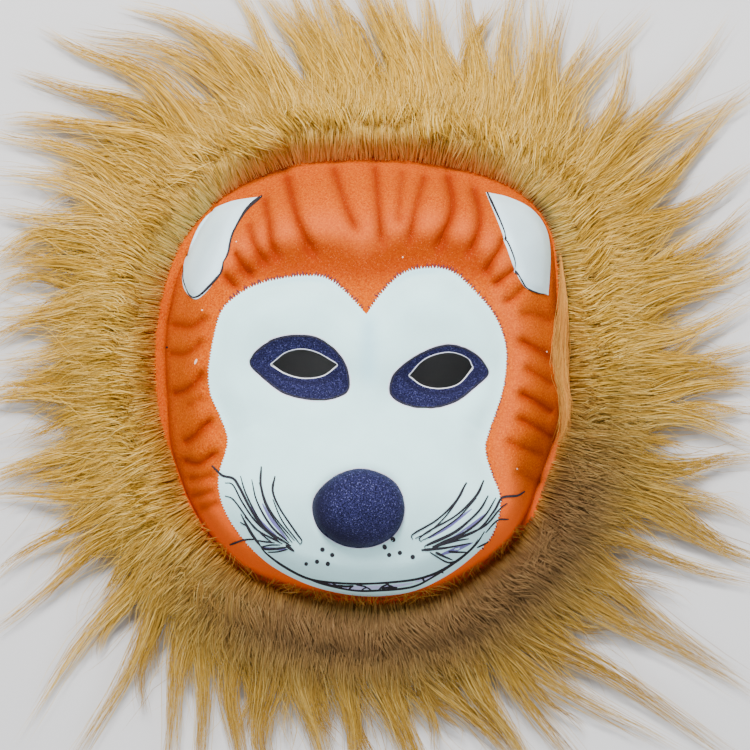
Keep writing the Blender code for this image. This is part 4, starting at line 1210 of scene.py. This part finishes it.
def strands_of_locks(ring, rng, locks, per_lock, stations, late=0.9, thin=0.0):
    """Centre lines, colours and shares of the way of the strands of many locks."""
    number = np.repeat(np.arange(len(locks["root"])), per_lock)
    root, middle, tip = (locks[key][number] for key in ("root", "middle", "tip"))
    half, layer, tone, phase, dark, gather = (
        locks[key][number, None] for key in ("half", "layer", "tone", "phase", "dark", "gather")
    )
    single = (len(number), 1)
    t = np.linspace(0, 1, stations)[None] * rng.uniform(0.6, 1.06, single)
    centre = bent_lines(root, middle, tip, t)
    ahead = unit(np.gradient(centre, axis=1), 1e-9)
    across = np.clip(rng.normal(0, 0.5, single), -1.4, 1.4)
    kept_width = (1 - gather * ease(t * 1.05) ** late) * (1 - thin * ease(t, 0.55, 0))
    spread = across * half * kept_width + rng.normal(0, 1, single) * 1.5 * t**1.6
    size = t * np.clip(np.linalg.norm(tip - root, axis=1)[:, None] / 65, 0.15, 1.2) ** 1.3
    wave = np.sin(2 * math.pi * 1.25 * t + phase)
    own = np.sin(2 * math.pi * rng.uniform(1.0, 2.6, single) * t + rng.uniform(0, 6.3, single))
    spread += (2.6 * wave + 1.1 * own) * size
    slide = rng.uniform(-5, 5, single) * (1 - t)
    flat = centre + left_of(ahead) * spread[..., None] + ahead * slide[..., None]
    offset = ring.offset(flat)
    height = read_rows(FUR_TOP, offset) * np.clip(layer + rng.normal(0, 0.1, single), 0.12, 1.08)
    height += np.sqrt(np.clip(1 - across**2, 0, 1)) * 1.8 * (1 - t)
    root_height = np.maximum(read_rows(BACKING_TOP, offset[:, :1]) - 1.0, 1.0)
    blend = ease(t, 0, 0.2)
    height = np.minimum(root_height, height[:, :1]) * (1 - blend) + height * blend
    height += rng.normal(0, 0.35, single) * t + 0.25
    tone = np.clip(tone + rng.normal(0, 0.32, single), 0, 1) * np.ones_like(t)
    share = np.clip(t, 0, 1)
    dark = np.clip(dark * (1 - share) ** 1.2, 0, 1)
    # The last value is painted shade, on the mane's side away from the light.
    colours = np.stack([tone, share, dark, shaded(flat, offset)], axis=-1)
    return np.concatenate([flat, height[..., None]], axis=-1), colours, t


def shaded(flat, offset):
    """How much painted shade browns the fur: most under the chin and at the lower right, less towards the
    tips.
    """
    near_rim = 0.3 + 0.7 * ease(offset, -1, 7)
    facing = ease(unit(flat) @ SHADE_WAY, 0.1, 0.85)
    return SHADE_MOST * near_rim * facing * (1 - 0.6 * ease(offset, 22, 52))


def guide_flow(ring, root, middle, tip):
    """The drawn locks' places round the rim, their turns from straight outwards, and their bows."""
    share = ring.share_of(root)
    way = tip - root
    turn = heading(way) - heading(ring.at(share)[1])
    turn = (turn + math.pi) % (2 * math.pi) - math.pi
    bow = np.sum((middle - (root + tip) / 2) * left_of(unit(way)), axis=1) / np.linalg.norm(way, axis=1)
    return share, turn, bow


def flow_at(share, flow):
    """The drawn locks' turn and bow, averaged near a place on the rim."""
    known, turn, bow = flow
    gap = np.abs(share[:, None] - known[None])
    weight = bell(np.minimum(gap, 1 - gap), FLOW_REACH) + 1e-6
    weight /= weight.sum(axis=1)[:, None]
    return weight @ turn, weight @ bow


def between_locks(ring, rng, flow, count, near, far, short, long, layers, half, scatter, tone, gather):
    """Locks that fill the mane between the drawn ones and follow their flow."""
    share = (np.arange(count) + rng.uniform(0, 1, count)) / count
    base, out = ring.at(share)
    root = base + out * rng.uniform(near, far, count)[:, None]
    turn, bow = flow_at(share, flow)
    turn = heading(out) + turn + rng.normal(0, scatter, count)
    bow = bow + rng.normal(0, 0.05, count)
    length = rng.uniform(short, long, count)
    way = np.column_stack([np.cos(turn), np.sin(turn)])
    tip = root + way * length[:, None]
    return {
        "root": root, "middle": (root + tip) / 2 + left_of(way) * (bow * length)[:, None], "tip": tip,
        "dark": np.clip(rng.normal(0.03, 0.06, count), 0, 0.3), "half": half * rng.uniform(0.7, 1.3, count),
        "layer": rng.uniform(*layers, count), "tone": np.clip(rng.normal(tone, 0.1, count), 0.05, 0.95),
        "phase": rng.uniform(0, 6.3, count), "gather": np.full(count, gather),
    }


def make_fur(materials, rng):
    """The mane: drawn locks, locks between them, stray hairs, and the short pile of the roll."""
    ring = Ring()
    root, middle, tip = np.array(LOCKS, float).reshape(-1, 3, 2).transpose(1, 0, 2)
    flow = guide_flow(ring, root, middle, tip)
    out = ring.at(ring.share_of(root))[1]
    start = root - out * np.clip(ring.offset(root) - FURTHEST_START, 0, None)[:, None]
    count = len(root)
    drawn = {
        "root": start, "middle": (start + middle * 2 + root) / 4 + (middle - (root + tip) / 2) * 0.5,
        "tip": tip + unit(tip - root) * PAST_TIP, "half": rng.uniform(8.0, 13.0, count),
        "layer": rng.uniform(0.8, 1.0, count), "tone": rng.uniform(0.45, 0.75, count),
        "phase": rng.uniform(0, 6.3, count), "dark": np.clip(rng.normal(0.03, 0.06, count), 0, 0.3),
        "gather": rng.uniform(0.62, 0.82, count),
    }
    kinds = {"fur_locks": drawn}
    for name, row in BETWEEN_LOCKS.items():
        kinds[name] = between_locks(ring, rng, flow, *row)
    for name, locks in kinds.items():
        make_locks(ring, rng, materials["fur"], name, locks)
    make_rim_lock(ring, rng, materials["fur"])
    strays = between_locks(ring, rng, flow, *STRAY_HAIRS)
    make_locks(ring, rng, materials["fur"], "fur_strays", strays)
    make_pile(ring, rng, materials["pile"])
    make_backing(ring, materials["backing"])


def make_locks(ring, rng, material, name, locks):
    """One mesh of many locks."""
    per_lock, stations, width = STRANDS[name]
    centres, colours, t = strands_of_locks(ring, rng, locks, per_lock, stations)
    strand_mesh(name, centres, t, width, colours, material, rng)


def make_rim_lock(ring, rng, material):
    """The smooth lock over the right rim, close over the cloth, with orange-brown and golden strands, the
    darker ones with more painted shade.
    """
    locks = {key: np.array([value], float) for key, value in RIM_LOCK.items()}
    per_lock, stations, width = STRANDS["fur_rim_lock"]
    centres, colours, t = strands_of_locks(ring, rng, locks, per_lock, stations, RIM_LOCK_LATE, RIM_LOCK_THIN)
    # Orange-brown tint and painted shade, both strongest on the darker strands.
    colours[..., 2] = np.clip(1.3 - 0.7 * colours[..., 0], 0, 1)
    colours[..., 3] = 0.4 - 0.3 * colours[..., 0]
    spots = centres[..., :2].reshape(-1, 2)
    cloth = face_height(spots, depths(spots)).reshape(t.shape)
    centres[..., 2] = np.maximum(centres[..., 2], cloth + RIM_LOCK_OVER_CLOTH)
    strand_mesh("fur_rim_lock", centres, t, width, colours, material, rng)


def make_pile(ring, rng, material):
    """The short pile over the roll, which leans outwards and hides the seam."""
    single = (PILE_HAIRS, 1)
    share = rng.uniform(0, 1, PILE_HAIRS)
    base, out = ring.at(share)
    x, y = base.T[..., None]
    turn = share[:, None] * 2 * math.pi
    start = rng.uniform(0, 1, single) ** 1.4 * PILE_BAND - 0.6
    lean = rng.uniform(7, 19, single)
    drift = rng.normal(0, 1.0, single) + 1.6 * np.sin(13 * turn) + np.sin(37 * turn + 2)
    rise = rng.uniform(1.5, 6.0, single)
    over_chin = (start < 3) & (y < -66) & (rng.uniform(0, 1, single) < 0.13)
    lean = np.where(over_chin, rng.uniform(-12, -3, single), lean)
    drift = np.where(over_chin, drift * 4, drift)
    t = np.tile(np.linspace(0, 1, 4), single)
    offset = start + lean * t**1.25
    aside = left_of(out)[:, None] * (drift * t**1.5)[..., None]
    flat = base[:, None] + out[:, None] * offset[..., None] + aside
    ground = np.where(start < 1.4, PILE_FLOOR, read_rows(BACKING_TOP, start) - 0.8)
    roll = np.where(offset < 1.4, PILE_FLOOR, read_rows(BACKING_TOP, offset))
    height = np.maximum(ground, roll) + rise * np.sin(t * math.pi / 2) ** 0.8 + 5 * over_chin * t
    at_top = ease(y, 0, 80)
    # Painted highlight along the roll's crest, and painted light on the roots at the top, where the roll
    # shades them.
    tone = rng.normal(0.5, 0.3, single) + 0.18 * bell(offset - 12, 6)
    tone += at_top * (0.12 + 0.45 * ease(offset, 9, 2))
    # Painted shade near the seam, little at the top.
    dark = 0.6 * ease(offset, 6, 0) * np.clip(1.15 - 0.5 * t, 0, 1) * (1 - 0.85 * at_top)
    # Painted shade: on the side away from the light, and in a patchy band along the right seam.
    brown = shaded(flat, offset) * np.where(over_chin, 0.4, 1.0)
    at_right = ease(x, 66, 80) * (0.55 + 0.45 * np.sin(31 * turn + 1.5 * np.sin(11 * turn)))
    brown = np.maximum(brown, 0.75 * at_right * ease(offset, 5.5, 1.5))
    colours = np.stack([np.clip(tone, 0, 1), t, np.clip(dark, 0, 1), brown], axis=-1)
    centres = np.concatenate([flat, height[..., None]], axis=-1)
    strand_mesh("fur_pile", centres, t, 0.32, colours, material, rng, most_roll=0.9)


def make_backing(ring, material):
    """The strip that the fur grows from."""
    share = np.arange(BACKING_SEGMENTS) / BACKING_SEGMENTS
    base, out = ring.at(share)
    wave = 0.8 * np.sin(share * 2 * math.pi * BACKING_WAVES)
    sides = [place(base + out * offset, height + wave * (height > 14)) for offset, height in BACKING]
    rings = np.arange(BACKING_SEGMENTS * len(BACKING)).reshape(BACKING_SEGMENTS, -1)
    verts = np.stack(sides, axis=1).reshape(-1, 3)
    new_mesh("fur_backing", "mane", verts, [ring_quads(rings, closed=True)[:, ::-1]], material, sharp=60)


def make_elastic(material):
    """The flat head elastic, with fine ribs along it."""
    base = smooth_loop(OUTLINES["shell"], 1.0)
    angles = np.degrees(heading(base)) % 360
    across = np.linspace(-1, 1, ELASTIC_RIBS * 2 + 1)
    bulge = np.where(np.arange(len(across)) % 2, 1.0, ELASTIC_GROOVE)
    profile = [*zip(across, -bulge), *zip(across[::-1], bulge[::-1])]
    made = []
    for t in np.linspace(0, 1, ELASTIC_STATIONS):
        angle = ELASTIC_START + (ELASTIC_END - ELASTIC_START) * t
        rim = np.array([np.interp(angle % 360, angles, column, period=360) for column in base.T])
        inward = unit(-rim)
        slack = ease(min(t, 1 - t), 0, ELASTIC_SLACK_SHARE)
        free = ease(min(t, 1 - t), 0, ELASTIC_ANCHOR_SHARE)
        inset = ELASTIC_INSET_ENDS + (ELASTIC_INSET_MIDDLE - ELASTIC_INSET_ENDS) * slack
        spot = (rim + inward * inset)[None]
        form, normal, _ = surface(spot, pleats=0.5, fine=False)
        wall = (form - normal * (FOAM + ELASTIC_SEAT + ELASTIC_THICK / 2))[0]
        thin = unit(-normal[0] + (np.array([*inward, 0.0]) + normal[0]) * free)
        level = ELASTIC_WIDTH / 2 + ELASTIC_GAP + ELASTIC_LIFT * (1 - slack)
        centre = wall + (place(spot, np.array([level]))[0] - wall) * free
        wide = unit(np.cross(thin, np.array([*left_of(inward), 0.0])))
        made += [centre + wide * w * ELASTIC_WIDTH / 2 + thin * s * ELASTIC_THICK / 2 for w, s in profile]
    rings = np.arange(len(made)).reshape(ELASTIC_STATIONS, -1)
    faces = [ring_quads(rings)[:, ::-1], np.array([rings[0], rings[-1, ::-1]])]
    new_mesh("elastic_band", "head_elastic", np.array(made), faces, material)


def broader(rows, factor, up=0.0):
    """The same lines drawn with a wider pen, and a little higher."""
    return [(*(width * factor for width in row[:3]), *((x, y + up) for x, y in row[3:])) for row in rows]


def make_ink(materials, rng):
    """All that is printed on the cloth."""
    dots = [(x, y + 1.2, radius * 1.1) for x, y, radius in DOTS]
    outlines = []
    halos = []
    for name in ("patch_left", "patch_right", "nose"):
        outlines += loop_rows(OUTLINES[name], INK_EDGE, 0, rng)
        halos += loop_rows(OUTLINES[name], HALO_EDGE, HALO_SHIFT, rng)
    hole_rows = [loop_rows(rows, HOLE_LINE, HOLE_EDGE + HOLE_LINE_SHIFT) for rows in HOLE_OUTLINES]
    for name, rows, ink, node, raise_mm, *more in (
        ("ink_whiskers", broader(WHISKERS, 1.4, 0.4), "ink", "face_panel", 0.28),
        ("ink_mouth", broader(MOUTH, 1.4, 0.5), "ink", "face_panel", 0.1, LINE_SINK, dots),
        ("ink_violet", broader(VIOLET, 1.1, 0.4), "violet", "face_panel", 0.03),
        ("ink_lavender", broader(LAVENDER, 1.1, 0.5), "lavender", "face_panel", 0.03),
        ("ink_ears", broader(EAR_LINES, 1.25), "ink", "ear_left", 0.25),
        ("marks_dark", (), "ink", "shell", 0.1, LINE_SINK, DARK_MARKS),
        ("marks_pale", (FLECK,), "speck", "shell", 0.1, LINE_SINK, PALE_MARKS),
        ("ink_outlines", outlines, "ink", "nose_cap", 0.08, OUTLINE_SINK),
        ("ink_halos", halos, "halo", "nose_cap", 0.05, OUTLINE_SINK),
        ("hole_edges", hole_rows[0] + hole_rows[1], "halo", "eye_patch_left", 0.1, OUTLINE_SINK),
    ):
        make_lines(name, rows, materials[ink], node, raise_mm, *more)


def make_stage():
    """Floor, lights and camera."""
    nodes = Nodes("floor")
    nodes.set(Base_Color=(0.58, 0.58, 0.59), Roughness=0.8, Specular_IOR_Level=0.1)
    mesh = bpy.data.meshes.new("floor")
    corners = ((-1, -1), (1, -1), (1, 1), (-1, 1))
    mesh.from_pydata([(x * FLOOR_HALF, y * FLOOR_HALF, FLOOR_Z) for x, y in corners], [], [(0, 1, 2, 3)])
    mesh.materials.append(nodes.material)
    floor = bpy.data.objects.new("floor", mesh)
    world = bpy.data.worlds.new("studio")
    world.use_nodes = True
    world.node_tree.nodes["Background"].inputs["Color"].default_value = SKY
    world.node_tree.nodes["Background"].inputs["Strength"].default_value = SKY_STRENGTH
    bpy.context.scene.world = world
    made = [floor]
    for name, place_m, size, power, colour in LIGHTS:
        light = bpy.data.lights.new(name, "AREA")
        light.energy = power
        light.size = size
        light.color = colour
        obj = bpy.data.objects.new(name, light)
        obj.location = place_m
        obj.rotation_euler = (Vector(LIT_SPOT) - Vector(place_m)).to_track_quat("-Z", "Y").to_euler()
        made.append(obj)
    camera = bpy.data.cameras.new("camera")
    camera.sensor_width = 36.0
    camera.lens = LENS
    camera.clip_end = 20.0
    eye = bpy.data.objects.new("camera", camera)
    eye.location = (SIGHT_X * MM, (SIGHT_Y + SHIFT_Y) * MM, SIGHT_Z * MM)
    for obj in (*made, eye):
        bpy.context.collection.objects.link(obj)
    bpy.context.scene.camera = eye


def make_materials():
    """Every material by a short name."""
    white_ear = (0.66, 0.88, 0.97)
    return {
        "orange": orange_velour(),
        "white": white_velour("white velour", (0.6, 0.95, 0.97)),
        "white_ear_left": white_velour("white velour left ear", white_ear),
        "white_ear_right": white_velour("white velour right ear", white_ear),
        "flock_left": blue_flock("blue flock left eye", 0.6, 0.45),
        "flock_right": blue_flock("blue flock right eye", 0.6, 0.45),
        "flock_nose": blue_flock("blue flock nose", 0.65, 0.6),
        "ink": plain_ink("black ink", (0.012, 0.011, 0.016), 1.6),
        "violet": plain_ink("violet ink", (0.13, 0.12, 0.32), 1.3),
        "lavender": plain_ink("lavender ink", (0.50, 0.52, 0.86), 1.3),
        "speck": plain_ink("pale speck", (0.85, 0.55, 0.40), 1.0),
        "halo": plain_ink("pale halo", (0.62, 0.66, 0.78), 1.2),
        "tick": plain_ink("dark tick", (0.06, 0.008, 0.022), 1.5),
        "foam": two_tone(
            "white foam", (0.1, (0.62, 0.63, 0.62)), (0.5, (0.80, 0.81, 0.80)), (0.7,), (0.2, 0.6),
            Roughness=0.9, Specular_IOR_Level=0.1,
        ),
        "backing": two_tone(
            "fur ground", (0.3, (0.16, 0.075, 0.02)), (0.7, (0.36, 0.20, 0.055)), (1.2, 4, 0.7), (0.6,),
            Roughness=0.95, Specular_IOR_Level=0.05,
        ),
        "elastic": two_tone(
            "woven elastic", (0.3, (0.62, 0.62, 0.60)), (0.7, (0.80, 0.80, 0.78)), (0.5, 2, 0.6), (0.15, 0.6),
            Roughness=0.7,
        ),
        "fur": golden_fur("golden fur", (0.34, 0.165, 0.012), (0.62, 0.37, 0.036), (0.64, 0.39, 0.055)),
        "pile": golden_fur("golden pile", (0.46, 0.23, 0.02), (0.67, 0.41, 0.055), (0.85, 0.62, 0.19)),
    }


def main():
    rng = np.random.default_rng(11)
    materials = make_materials()
    make_cloth(materials, rng)
    make_foam(materials["foam"])
    make_ink(materials, rng)
    make_fur(materials, rng)
    make_elastic(materials["elastic"])
    make_stage()


main()
